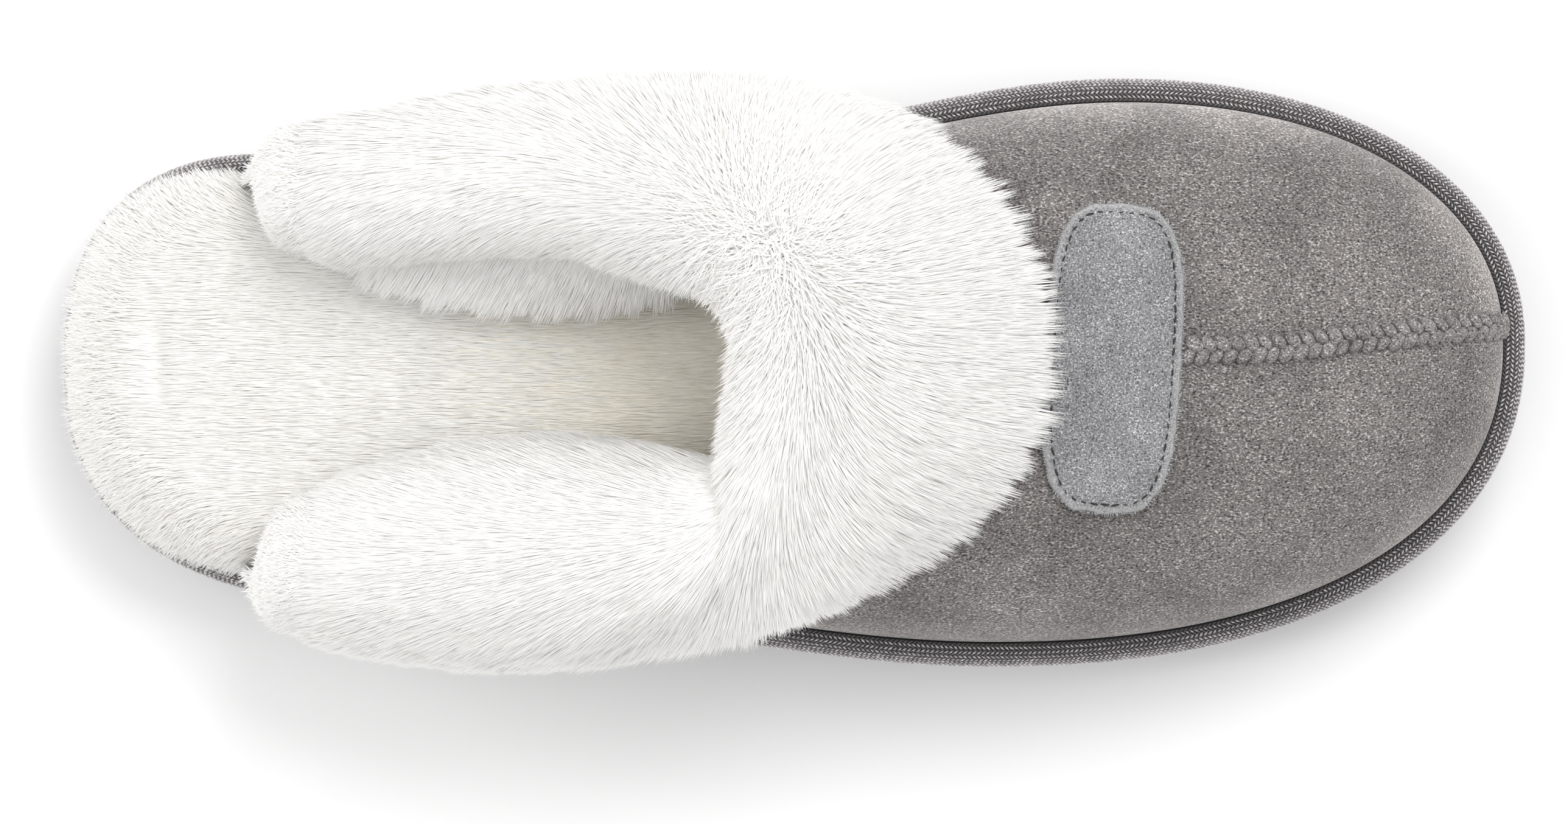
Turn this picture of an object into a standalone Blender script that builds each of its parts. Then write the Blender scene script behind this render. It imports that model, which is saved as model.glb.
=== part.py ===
"""A right-foot house slipper: wrapped platform sole, suede vamp and a deep plush cuff folded over its rim.

The last's own frame has X from the back of the heel to the toe, Y towards the inner (medial) side and Z up
from the floor. A root empty then puts the middle of the slipper's box over the origin.
"""

import math
import random
from collections import namedtuple

import bmesh
import bpy
from mathutils import Vector

MM = 0.001

# The last: length, ball, waist and heel
SOLE_LENGTH = 270 * MM
TOE_TIP_Y = 4 * MM
Side = namedtuple("Side", "sign ball_x ball_half toe_power waist_x waist_half heel_x heel_half heel_power")
MEDIAL = Side(1, 196 * MM, 53 * MM, 2.15, 90 * MM, 36.5 * MM, 38 * MM, 39 * MM, 2.4)
LATERAL = Side(-1, 172 * MM, 55.75 * MM, 2.25, 60 * MM, 44 * MM, 60 * MM, 44 * MM, 2.4)

# Sole thicknesses, toe spring, arch and heel bevel
OUTSOLE_THICK = 5.5 * MM
OUTSOLE_TREAD_INSET = 3.2 * MM
OUTSOLE_EDGE_INSET = 2.0 * MM
OUTSOLE_EDGE_HEIGHT = 1.2 * MM
OUTSOLE_TOP_INSET = 1.7 * MM
STACK_HEEL = 20.5 * MM
STACK_BALL = 18 * MM
TOE_SPRING = 9 * MM
SPRING_START = 200 * MM
ARCH_RISE = 2.5 * MM
ARCH_ENDS = (82 * MM, 100 * MM, 134 * MM, 152 * MM)
HEEL_BEVEL = 1.5 * MM
HEEL_BEVEL_LENGTH = 14 * MM
SEAT_GAP = 0.3 * MM
OUTLINE_STEPS = 34

# The woven binding round the platform
BINDING_THICK = 1.2 * MM
BandPoint = namedtuple("BandPoint", "inset height")
BAND_PROFILE = [
    BandPoint(1.6 * MM, 0.0 * MM),
    BandPoint(0.4 * MM, 3.4 * MM),
    BandPoint(0.0 * MM, 7.2 * MM),
    BandPoint(0.6 * MM, 10.6 * MM),
    BandPoint(1.9 * MM, 12.9 * MM),
    BandPoint(4.2 * MM, 13.9 * MM),
]
BAND_LIP = 1.5 * MM

# The upper: feather line, wall and section shape
FEATHER_INSET = 5.1 * MM
UPPER_WALL = 2.5 * MM
UPPER_BACK_X = 40 * MM
FOCUS_X = 222 * MM
ACROSS_POWER = 2.8
RISE_POWER = 2.2
PUFF = 3.5 * MM
RidgePoint = namedtuple("RidgePoint", "x y z")
RIDGE = [
    RidgePoint(0 * MM, 0.0 * MM, 88 * MM),
    RidgePoint(36 * MM, 0.0 * MM, 84 * MM),
    RidgePoint(100 * MM, 0.0 * MM, 76.5 * MM),
    RidgePoint(136 * MM, 0.0 * MM, 71 * MM),
    RidgePoint(184 * MM, 0.0 * MM, 61.5 * MM),
    RidgePoint(222 * MM, 1.6 * MM, 55 * MM),
    RidgePoint(240 * MM, 3.4 * MM, 51.8 * MM),
]
THROAT_X = 136 * MM
COLLAR_BACK_ANGLE = 17.0
COLLAR_POWER = 1.5
SIDE_STATIONS = (40, 48, 57, 66, 76, 86, 96, 105, 113, 120, 126, 130, 133, 135, 136)
VAMP_STATIONS = (145, 155, 165, 175, 185, 195, 204, 213)
TOE_FAN_STEPS = 18
RIB_STEPS = 9

# The raised seam along the toe
SEAM_WIDTH = 5.0 * MM
SEAM_HEIGHT = 2.2 * MM
SEAM_START_X = 206 * MM
SEAM_END_ANGLE = 7.0
SEAM_STEPS = 14
SEAM_TURNS = (-90, -55, -20, 20, 55, 90)

# The suede patch across the vamp
PATCH_X = 192 * MM
PATCH_Y = 0.7 * MM
PATCH_HALF_LENGTH = 27.4 * MM
PATCH_HALF_WIDTH = 11.8 * MM
PATCH_TILT = 3.4
PATCH_THICK = 1.2 * MM
PATCH_POWER = 2.6
PATCH_STEPS = 28
PATCH_RINGS = (1.0, 0.72, 0.4)

# The footbed and its pile, ring by ring: inward from its edge, up from its base, share of the heel's overhang
INSOLE_EDGE_GAP = 0.8 * MM
FootbedRing = namedtuple("FootbedRing", "inward rise overhang")
FOOTBED_RINGS = [
    FootbedRing(0 * MM, 0.0 * MM, 0),
    FootbedRing(0 * MM, 2.0 * MM, 0),
    FootbedRing(0 * MM, 3.6 * MM, 1),
    FootbedRing(0 * MM, 7.5 * MM, 1),
    FootbedRing(5 * MM, 11.0 * MM, 0),
    FootbedRing(13 * MM, 13.0 * MM, 0),
    FootbedRing(21 * MM, 13.0 * MM, 0),
]
FOOTBED_WIDENS = (22 * MM, 30 * MM)
HEEL_FUR_FADES = (19 * MM, 27 * MM)
HEEL_FUR_OVERHANG = 3.2 * MM
HEEL_LOCK_REACH = 1.5 * MM
HEEL_LOCK_LENGTH = 4.5 * MM
FOOTBED_LOCK_LENGTH = 5 * MM
FOOTBED_LOCK_RISE = 2.5 * MM
FOOTBED_LOCK_ENDS = (32 * MM, 100 * MM)

# The plush cuff, one row for each section from the back end to the throat.
# rim is the collar angle on the upper; hem and inner give where the outer and inner leaves end.
# pile stands outside, fold over the rim and lining inside; crease is the dip between fold and lining.
CuffRow = namedtuple("CuffRow", "rim hem_x hem inner_x inner pile fold lining crease")
CUFF_MEDIAL = [
    CuffRow(17.0, 40 * MM, 5, 40 * MM, 12, 6.0 * MM, 6.0 * MM, 8.0 * MM, 0.0 * MM),
    CuffRow(20.0, 60 * MM, 5, 60 * MM, 12, 10.5 * MM, 9.0 * MM, 16.0 * MM, 2.0 * MM),
    CuffRow(27.0, 82 * MM, 5, 80 * MM, 12, 14.5 * MM, 11.0 * MM, 19.5 * MM, 4.0 * MM),
    CuffRow(38.0, 108 * MM, 6, 102 * MM, 13, 16.0 * MM, 12.5 * MM, 20.0 * MM, 4.0 * MM),
    CuffRow(52.0, 138 * MM, 12, 126 * MM, 26, 13.0 * MM, 12.5 * MM, 15.0 * MM, 2.0 * MM),
    CuffRow(70.0, 164 * MM, 48, 148 * MM, 60, 12.0 * MM, 11.0 * MM, 11.0 * MM, 0.5 * MM),
]
CUFF_THROAT = CuffRow(90.0, 177 * MM, 90, 160 * MM, 90, 12.0 * MM, 10.5 * MM, 9.5 * MM, 0.0 * MM)
CUFF_LATERAL = [
    CuffRow(17.0, 40 * MM, 5, 40 * MM, 12, 7.0 * MM, 7.0 * MM, 8.0 * MM, 0.0 * MM),
    CuffRow(20.0, 58 * MM, 5, 60 * MM, 12, 12.0 * MM, 12.0 * MM, 16.0 * MM, 0.0 * MM),
    CuffRow(27.0, 77 * MM, 5, 80 * MM, 12, 13.5 * MM, 14.0 * MM, 24.0 * MM, 0.0 * MM),
    CuffRow(38.0, 95 * MM, 6, 102 * MM, 13, 12.5 * MM, 15.0 * MM, 25.0 * MM, 0.0 * MM),
    CuffRow(52.0, 113 * MM, 16, 126 * MM, 26, 11.5 * MM, 14.0 * MM, 18.0 * MM, 0.0 * MM),
    CuffRow(70.0, 151 * MM, 56, 148 * MM, 60, 12.0 * MM, 11.0 * MM, 11.0 * MM, 0.0 * MM),
]
CUFF_SUBSTEPS = 4
CUFF_END_OVERHANG = 3 * MM
CUFF_END_REACH = 4 * MM
CUFF_END_SHRINK = 0.45
CUFF_CLEARANCE = 0.9 * MM
CUFF_HEM_THICK = 4 * MM
CUFF_INNER_HEM_THICK = 6 * MM
CUFF_OUTER_SHARES = (0.0, 0.16, 0.36, 0.58, 0.8, 1.0)
CUFF_TURNS = (45, 90, 135)
CUFF_INNER_SHARES = (0.0, 0.2, 0.6, 1.0)
CUFF_LOCK_LENGTH = 7 * MM
CUFF_INNER_LOCK_LENGTH = 6 * MM
CUFF_LOCK_WIDTH = 4 * MM
LOCK_TIP_SHARE = 0.22
LOCK_SEED = 11

Paint = namedtuple("Paint", "color roughness")
SUEDE = Paint((0.24, 0.225, 0.215), 0.95)
PATCH_SUEDE = Paint((0.31, 0.31, 0.32), 0.95)
WOVEN_TAPE = Paint((0.15, 0.135, 0.14), 0.9)
PLUSH = Paint((0.93, 0.92, 0.89), 1.0)
FOAM = Paint((0.5, 0.5, 0.5), 0.8)
SOLE_RUBBER = Paint((0.13, 0.125, 0.125), 0.75)


def mix(low, high, share):
    return low + (high - low) * share


def smooth(share):
    share = min(max(share, 0.0), 1.0)
    return share * share * (3 - 2 * share)


def catmull(before, start, end, after, share):
    """A value on the smooth curve through four neighbouring values."""
    slope_in = (end - before) / 2
    slope_out = (after - start) / 2
    bend = 3 * (end - start) - 2 * slope_in - slope_out
    turn = 2 * (start - end) + slope_in + slope_out
    return start + share * (slope_in + share * (bend + share * turn))


def curve_value(rows, x, column):
    """A column of a table of rows at x, on a smooth curve through the rows."""
    last = len(rows) - 2
    index = 0
    while index < last and x > rows[index + 1].x:
        index += 1
    share = (x - rows[index].x) / (rows[index + 1].x - rows[index].x)
    picks = [rows[min(max(index + step, 0), last + 1)] for step in (-1, 0, 1, 2)]
    return catmull(*[getattr(row, column) for row in picks], share)


# Outline of the sole


def sole_edge(x, side):
    """Y of the sole's outer edge at x: a rounded heel, a drawn-in waist and a rounded toe."""
    if x >= side.ball_x:
        reach = min((x - side.ball_x) / (SOLE_LENGTH - side.ball_x), 1.0)
        spread = (1 - reach**side.toe_power) ** (1 / side.toe_power)
        return mix(TOE_TIP_Y, side.sign * side.ball_half, spread)
    if x <= side.heel_x:
        reach = 1 - x / side.heel_x
        return side.sign * side.heel_half * (1 - reach**side.heel_power) ** (1 / side.heel_power)
    if x <= side.waist_x:
        share = smooth((x - side.heel_x) / (side.waist_x - side.heel_x))
        return side.sign * mix(side.heel_half, side.waist_half, share)
    share = smooth((x - side.waist_x) / (side.ball_x - side.waist_x))
    return side.sign * mix(side.waist_half, side.ball_half, share)


def outline(steps):
    """The closed outline: heel tip, medial edge, toe tip, lateral edge. Steps are closer at both ends."""
    lengths = [SOLE_LENGTH * (1 - math.cos(math.pi * k / steps)) / 2 for k in range(steps + 1)]
    medial = [Vector((x, sole_edge(x, MEDIAL))) for x in lengths[1:-1]]
    lateral = [Vector((x, sole_edge(x, LATERAL))) for x in reversed(lengths[1:-1])]
    return [Vector((0, 0)), *medial, Vector((SOLE_LENGTH, TOE_TIP_Y)), *lateral]


def inward_normals(loop):
    normals = []
    for index, point in enumerate(loop):
        along = (loop[(index + 1) % len(loop)] - loop[index - 1]).normalized()
        normals.append(Vector((along.y, -along.x)))
    return normals


def inset_loop(loop, insets):
    return [p + n * d for p, n, d in zip(loop, inward_normals(loop), insets)]


def toe_lift(x):
    reach = max(0.0, (x - SPRING_START) / (SOLE_LENGTH - SPRING_START))
    return TOE_SPRING * reach * reach


def arch_lift(x):
    rise_start, rise_end, fall_start, fall_end = ARCH_ENDS
    up = smooth((x - rise_start) / (rise_end - rise_start))
    down = smooth((x - fall_start) / (fall_end - fall_start))
    return ARCH_RISE * (up - down)


def heel_bevel(x):
    reach = max(0.0, 1 - x / HEEL_BEVEL_LENGTH)
    return HEEL_BEVEL * reach * reach


def platform_top(x):
    share = smooth((x - LATERAL.heel_x) / (MEDIAL.ball_x - LATERAL.heel_x))
    return toe_lift(x) + mix(STACK_HEEL, STACK_BALL, share)


def platform_foot(x):
    return toe_lift(x) + OUTSOLE_THICK + SEAT_GAP


# Meshes and objects


def new_object(name, shape, paint, parent):
    mesh = bpy.data.meshes.new(name)
    shape.to_mesh(mesh)
    shape.free()
    mesh.shade_smooth()
    mesh.set_sharp_from_angle(angle=math.radians(50))
    material = bpy.data.materials.new(name)
    material.use_nodes = True
    surface = material.node_tree.nodes["Principled BSDF"]
    surface.inputs["Base Color"].default_value = (*paint.color, 1)
    surface.inputs["Roughness"].default_value = paint.roughness
    mesh.materials.append(material)
    made = bpy.data.objects.new(name, mesh)
    bpy.context.scene.collection.objects.link(made)
    made.parent = parent
    return made


def bridge(shape, first, second, closed):
    """A strip of quads between two rows of vertices."""
    count = len(first) if closed else len(first) - 1
    faces = []
    for index in range(count):
        after = (index + 1) % len(first)
        faces.append(shape.faces.new((first[index], first[after], second[after], second[index])))
    return faces


def cap_sole(shape, ring):
    """Closes a sole ring with strips from the medial to the lateral edge."""
    half = len(ring) // 2
    for k in range(half):
        medial = [ring[k], ring[k + 1]]
        lateral = [ring[(2 * half - k - 1) % len(ring)], ring[(2 * half - k) % len(ring)]]
        shape.faces.new(list(dict.fromkeys([*medial, *lateral])))


def loft_sole(rings):
    """A closed solid through rings of points, from the lowest ring to the top one."""
    shape = bmesh.new()
    loops = [[shape.verts.new(point) for point in ring] for ring in rings]
    strips = [bridge(shape, low, high, True) for low, high in zip(loops, loops[1:])]
    cap_sole(shape, loops[0])
    cap_sole(shape, loops[-1])
    bmesh.ops.recalc_face_normals(shape, faces=shape.faces)
    return shape, strips


def level_ring(loop, insets, height):
    return [Vector((p.x, p.y, height(p.x))) for p in inset_loop(loop, insets)]


def even(inset, loop):
    return [inset] * len(loop)


# Sole pieces


def build_outsole(parent):
    loop = outline(OUTLINE_STEPS)

    def floor_side(x):
        return toe_lift(x) + arch_lift(x) + heel_bevel(x)

    rings = [
        level_ring(loop, even(OUTSOLE_TREAD_INSET, loop), floor_side),
        level_ring(loop, even(OUTSOLE_EDGE_INSET, loop), lambda x: floor_side(x) + OUTSOLE_EDGE_HEIGHT),
        level_ring(loop, even(OUTSOLE_TOP_INSET, loop), lambda x: toe_lift(x) + OUTSOLE_THICK),
    ]
    shape, _ = loft_sole(rings)
    new_object("outsole", shape, SOLE_RUBBER, parent)


def band_profile(depth):
    """The binding's outer profile moved into the sole by depth, as (inset, height) pairs."""
    points = [Vector(row) for row in BAND_PROFILE]
    moved = []
    for index, point in enumerate(points):
        after = points[min(index + 1, len(points) - 1)]
        before = points[max(index - 1, 0)]
        along = (after - before).normalized()
        moved.append(point + Vector((along.y, -along.x)) * depth)
    moved[0].y = points[0].y
    return moved


def band_ring(loop, point):
    """One level of the band round the sole, scaled to the platform's height there."""
    nominal = BAND_PROFILE[-1].height

    def height(x):
        tall = platform_top(x) + BAND_LIP - platform_foot(x)
        return platform_foot(x) + tall * point.y / nominal

    return level_ring(loop, even(point.x, loop), height)


def build_binding(parent):
    loop = outline(OUTLINE_STEPS)
    outer = [band_ring(loop, point) for point in band_profile(0)]
    inner = [band_ring(loop, point) for point in band_profile(BINDING_THICK)]
    shape = bmesh.new()
    rings = [[shape.verts.new(point) for point in ring] for ring in [*outer, *reversed(inner)]]
    for low, high in zip(rings, [*rings[1:], rings[0]]):
        bridge(shape, low, high, True)
    bmesh.ops.recalc_face_normals(shape, faces=shape.faces)
    new_object("binding", shape, WOVEN_TAPE, parent)


def build_midsole(parent):
    loop = outline(OUTLINE_STEPS)
    profile = band_profile(BINDING_THICK + SEAT_GAP)
    rings = [band_ring(loop, point) for point in profile]
    rings.append(level_ring(loop, even(FEATHER_INSET + 1 * MM, loop), platform_top))
    shape, _ = loft_sole(rings)
    new_object("midsole", shape, FOAM, parent)


def fade(x, ends):
    """0 before the first end, 1 past the second."""
    return smooth((x - ends[0]) / (ends[1] - ends[0]))


def build_insole(parent):
    loop = outline(OUTLINE_STEPS)
    open_heel = FEATHER_INSET + SEAT_GAP
    inside_upper = FEATHER_INSET + UPPER_WALL + INSOLE_EDGE_GAP
    rings = []
    for ring in FOOTBED_RINGS:
        insets = []
        for point in loop:
            edge = mix(open_heel, inside_upper, fade(point.x, FOOTBED_WIDENS))
            overhang = HEEL_FUR_OVERHANG * (1 - fade(point.x, HEEL_FUR_FADES)) * ring.overhang
            insets.append(edge + ring.inward - overhang)
        rings.append(level_ring(loop, insets, lambda x, rise=ring.rise: platform_top(x) + SEAT_GAP + rise))
    shape, strips = loft_sole(rings)
    grow_footbed_locks(shape, strips)
    new_object("insole", shape, PLUSH, parent)


def grow_footbed_locks(shape, strips):
    """Locks that stand round the heel's rim, and ones that lie back on the open part of the footbed."""
    for face in strips[3]:
        middle = face.calc_center_median()
        if middle.x < HEEL_FUR_FADES[1]:
            outwards = Vector((face.normal.x, face.normal.y, 0)).normalized()
            grow_lock(shape, face, middle + outwards * HEEL_LOCK_REACH + Vector((0, 0, HEEL_LOCK_LENGTH)))
    for row, (strip, end_x) in enumerate(zip(strips[4:6], FOOTBED_LOCK_ENDS)):
        for index, face in enumerate(strip):
            middle = face.calc_center_median()
            if middle.x < end_x and (index + row) % 2 == 0:
                grow_lock(shape, face, middle + Vector((-FOOTBED_LOCK_LENGTH, 0, FOOTBED_LOCK_RISE)))


def grow_lock(shape, face, tip):
    """Draws a face out to a tapered lock whose small end sits at tip."""
    made = bmesh.ops.extrude_discrete_faces(shape, faces=[face])["faces"][0]
    middle = made.calc_center_median()
    for vertex in made.verts:
        vertex.co = tip + (vertex.co - middle) * LOCK_TIP_SHARE


# The upper's surface


FEATHER_LOOP = inset_loop(outline(120), [FEATHER_INSET] * 240)


def feather_edge(x, side):
    """Y of the line where the upper meets the sole, at x."""
    half = len(FEATHER_LOOP) // 2
    chain = FEATHER_LOOP[: half + 1]
    if side is LATERAL:
        chain = [FEATHER_LOOP[0], *reversed(FEATHER_LOOP[half:])]
    for low, high in zip(chain, chain[1:]):
        if low.x <= x <= high.x:
            return mix(low.y, high.y, (x - low.x) / (high.x - low.x))
    return chain[-1].y


def feather_ray(angle):
    """The feather point met by a ray from the toe's focus, angle 0 straight ahead, positive to medial."""
    focus = Vector((FOCUS_X, curve_value(RIDGE, FOCUS_X, "y")))
    for low, high in zip(FEATHER_LOOP, FEATHER_LOOP[1:]):
        if high.x < FOCUS_X - 1 * MM and low.x < FOCUS_X - 1 * MM:
            continue
        bearings = [math.atan2(p.y - focus.y, p.x - focus.x) for p in (low, high)]
        if bearings[1] <= angle <= bearings[0]:
            return low.lerp(high, (angle - bearings[0]) / (bearings[1] - bearings[0]))
    raise ValueError("the ray misses the feather line")


Rib = namedtuple("Rib", "base crown slope")


def upper_base(x):
    return platform_top(x) + SEAT_GAP


def cross_rib(x, side):
    """The rib across the upper at x: from the feather line up to the ridge."""
    base = Vector((x, feather_edge(x, side), upper_base(x)))
    crown = Vector((x, curve_value(RIDGE, x, "y"), curve_value(RIDGE, x, "z")))
    return Rib(base, crown, 0.0)


def toe_rib(angle):
    """A rib of the toe's fan: from the feather line back to the focus on the ridge."""
    foot = feather_ray(angle)
    base = Vector((foot.x, foot.y, upper_base(foot.x)))
    crown = cross_rib(FOCUS_X, MEDIAL).crown
    step = 2 * MM
    fall = (curve_value(RIDGE, FOCUS_X + step, "z") - curve_value(RIDGE, FOCUS_X - step, "z")) / (2 * step)
    return Rib(base, crown, fall * math.cos(angle))


def rib_point(rib, theta):
    """A point on a rib, theta from 0 at the feather line to 90 degrees at the ridge."""
    turn = math.radians(theta)
    flat = (rib.base - rib.crown) * Vector((1, 1, 0))
    span = flat.length
    out = max(math.cos(turn), 0.0) ** (2 / ACROSS_POWER)
    rise = math.sin(turn) ** (2 / RISE_POWER)
    top = rib.crown.z + rib.slope * span * out
    spot = rib.crown + flat * (out + PUFF / span * math.sin(2 * turn))
    spot.z = mix(rib.base.z, top, rise)
    return spot


def instep_point(x, girth):
    """A point of the upper's outside: girth runs from 0 medial over 90 at the ridge to 180 lateral."""
    if girth <= 90:
        return rib_point(cross_rib(x, MEDIAL), girth)
    return rib_point(cross_rib(x, LATERAL), 180 - girth)


def instep_normal(x, girth):
    along = instep_point(x + MM, girth) - instep_point(x - MM, girth)
    low, high = max(girth - 1, 0), min(girth + 1, 180)
    around = instep_point(x, high) - instep_point(x, low)
    return around.cross(along).normalized()


def instep_spot(x, y):
    """Girth of the upper's outside above a point of the plan."""
    low, high = 0.0, 180.0
    for _ in range(40):
        middle = (low + high) / 2
        if instep_point(x, middle).y > y:
            low = middle
        else:
            high = middle
    return low


def collar_angle(x):
    """Where the collar's rim crosses the rib at x: low at the back, up to the ridge at the throat."""
    reach = min(max((x - UPPER_BACK_X) / (THROAT_X - UPPER_BACK_X), 0.0), 1.0)
    return 90 - (90 - COLLAR_BACK_ANGLE) * math.sqrt(1 - reach**COLLAR_POWER)


def collar_x(angle):
    """Where along the foot the collar's rim has this angle."""
    share = min((90 - angle) / (90 - COLLAR_BACK_ANGLE), 1.0)
    return mix(UPPER_BACK_X, THROAT_X, (1 - share * share) ** (1 / COLLAR_POWER))


def upper_ribs():
    """Ribs of the upper with the angle where each ends, round the toe from back to back."""
    stations = [x * MM for x in (*SIDE_STATIONS, *VAMP_STATIONS)]
    medial = [(cross_rib(x, MEDIAL), collar_angle(x)) for x in stations]
    fan = [90 - 180 * k / TOE_FAN_STEPS for k in range(TOE_FAN_STEPS + 1)]
    toe = [(toe_rib(math.radians(angle)), 90.0) for angle in fan]
    lateral = [(cross_rib(x, LATERAL), collar_angle(x)) for x in reversed(stations)]
    return [*medial, *toe, *lateral]


def build_upper(parent):
    shape = bmesh.new()
    rows = []
    for rib, end in upper_ribs():
        thetas = [end * j / RIB_STEPS for j in range(RIB_STEPS + 1)]
        rows.append([shape.verts.new(rib_point(rib, theta)) for theta in thetas])
    for first, second in zip(rows, rows[1:]):
        bridge(shape, first, second, False)
    bmesh.ops.remove_doubles(shape, verts=shape.verts, dist=0.02 * MM)
    bmesh.ops.recalc_face_normals(shape, faces=shape.faces)
    upper = new_object("upper", shape, SUEDE, parent)
    wall = upper.modifiers.new("wall", "SOLIDIFY")
    wall.thickness = UPPER_WALL
    wall.offset = -1
    wall.use_even_offset = True


# Overlays on the vamp


def seam_stations():
    """Points, normals and sideways directions along the middle of the toe, from the patch to the sole."""
    length = FOCUS_X - SEAM_START_X
    flat_steps = SEAM_STEPS // 4
    spots = []
    for k in range(flat_steps):
        x = SEAM_START_X + length * k / flat_steps
        spots.append((instep_point(x, 90), instep_normal(x, 90)))
    rib = toe_rib(math.radians(SEAM_END_ANGLE))
    fan_steps = SEAM_STEPS - flat_steps
    for k in range(1, fan_steps + 1):
        theta = mix(90, SEAM_END_ANGLE, k / fan_steps)
        along = rib_point(rib, theta - 1) - rib_point(rib, theta + 1)
        spots.append((rib_point(rib, theta), Vector((0, 1, 0)).cross(along).normalized() * -1))
    return spots


def build_toe_seam(parent):
    shape = bmesh.new()
    sections = []
    for spot, normal in seam_stations():
        sideways = Vector((0, 1, 0))
        section = []
        for turn in SEAM_TURNS:
            across = SEAM_WIDTH / 2 * math.sin(math.radians(turn))
            rise = SEAT_GAP + SEAM_HEIGHT * math.cos(math.radians(turn))
            section.append(shape.verts.new(spot + sideways * across + normal * rise))
        sections.append(section)
    for first, second in zip(sections, sections[1:]):
        bridge(shape, first, second, True)
    shape.faces.new(sections[0])
    shape.faces.new(sections[-1])
    bmesh.ops.recalc_face_normals(shape, faces=shape.faces)
    new_object("toe_seam", shape, SUEDE, parent)


def patch_spot(share, turn):
    """A point of the patch's top: share of the way from its middle to its edge, in direction turn."""
    cosine, sine = math.cos(turn), math.sin(turn)
    across = math.copysign(abs(cosine) ** (2 / PATCH_POWER), cosine) * PATCH_HALF_WIDTH * share
    along = math.copysign(abs(sine) ** (2 / PATCH_POWER), sine) * PATCH_HALF_LENGTH * share
    tilt = math.radians(PATCH_TILT)
    x = PATCH_X + across * math.cos(tilt) + along * math.sin(tilt)
    y = PATCH_Y + along * math.cos(tilt) - across * math.sin(tilt)
    girth = instep_spot(x, y)
    return instep_point(x, girth) + instep_normal(x, girth) * (SEAT_GAP + PATCH_THICK)


def build_patch(parent):
    shape = bmesh.new()
    turns = [2 * math.pi * (k + 0.5) / PATCH_STEPS for k in range(PATCH_STEPS)]
    rings = [[shape.verts.new(patch_spot(share, turn)) for turn in turns] for share in PATCH_RINGS]
    for outer, inner in zip(rings, rings[1:]):
        bridge(shape, outer, inner, True)
    middle = shape.verts.new(patch_spot(0, 0))
    for first, second in zip(rings[-1], [*rings[-1][1:], rings[-1][0]]):
        shape.faces.new((first, second, middle))
    bmesh.ops.recalc_face_normals(shape, faces=shape.faces)
    if sum(face.normal.z for face in shape.faces) < 0:
        bmesh.ops.reverse_faces(shape, faces=shape.faces)
    patch = new_object("patch", shape, PATCH_SUEDE, parent)
    wall = patch.modifiers.new("wall", "SOLIDIFY")
    wall.thickness = PATCH_THICK
    wall.offset = -1


# The plush cuff


def cuff_rows():
    """The cuff's rows from the medial back end over the throat to the lateral back end, in girth angles."""
    lateral = []
    for row in reversed(CUFF_LATERAL):
        lateral.append(row._replace(rim=180 - row.rim, hem=180 - row.hem, inner=180 - row.inner))
    return [*CUFF_MEDIAL, CUFF_THROAT, *lateral]


def cuff_stations():
    """Rows between the table's rows, on a smooth curve through them."""
    rows = cuff_rows()
    last = len(rows) - 1
    stations = []
    for index in range(last * CUFF_SUBSTEPS + 1):
        row = min(index // CUFF_SUBSTEPS, last - 1)
        share = index / CUFF_SUBSTEPS - row
        picks = [rows[min(max(row + step, 0), last)] for step in (-1, 0, 1, 2)]
        stations.append(CuffRow(*[catmull(*values, share) for values in zip(*picks)]))
    return stations


def cuff_section(row, overhang):
    """One section of the cuff: its fur from hem over the rim to the inner hem, then back by the wall."""
    rim_x = collar_x(min(row.rim, 180 - row.rim)) - overhang
    rim, rim_normal = instep_point(rim_x, row.rim), instep_normal(rim_x, row.rim)

    def leaf(end_x, end, share):
        x = mix(end_x - overhang, rim_x, share)
        girth = mix(end, row.rim, share)
        return instep_point(x, girth), instep_normal(x, girth)

    outer = [leaf(row.hem_x, row.hem, share) for share in CUFF_OUTER_SHARES]
    inner = [leaf(row.inner_x, row.inner, 1 - share) for share in CUFF_INNER_SHARES]
    toward_rim = rim - outer[-2][0]
    upwards = (toward_rim - rim_normal * toward_rim.dot(rim_normal)).normalized()
    core = rim - rim_normal * UPPER_WALL / 2

    fur = []
    for (spot, normal), share in zip(outer, CUFF_OUTER_SHARES):
        fur.append(spot + normal * mix(CUFF_HEM_THICK, row.pile, smooth(share / 0.4)))
    for turn in CUFF_TURNS:
        angle = math.radians(turn)
        reach = UPPER_WALL / 2 + mix(row.pile, row.fold, turn / 180)
        fur.append(core + (rim_normal * math.cos(angle) + upwards * math.sin(angle)) * reach)
    depths = (row.fold, row.fold - row.crease, row.lining, CUFF_INNER_HEM_THICK)
    for (spot, normal), depth in zip(inner, depths):
        fur.append(spot - normal * (UPPER_WALL + depth))

    wall = [spot - normal * (UPPER_WALL + CUFF_CLEARANCE) for spot, normal in reversed(inner)]
    wall.append(core + upwards * (UPPER_WALL / 2 + CUFF_CLEARANCE))
    wall += [spot + normal * CUFF_CLEARANCE for spot, normal in reversed(outer)]
    return [*fur, *wall]


def cuff_end(section):
    """A smaller copy of an end section, a little further back, which rounds the cuff's end."""
    middle = sum(section, Vector()) / len(section)
    return [point.lerp(middle, CUFF_END_SHRINK) - Vector((CUFF_END_REACH, 0, 0)) for point in section]


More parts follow.
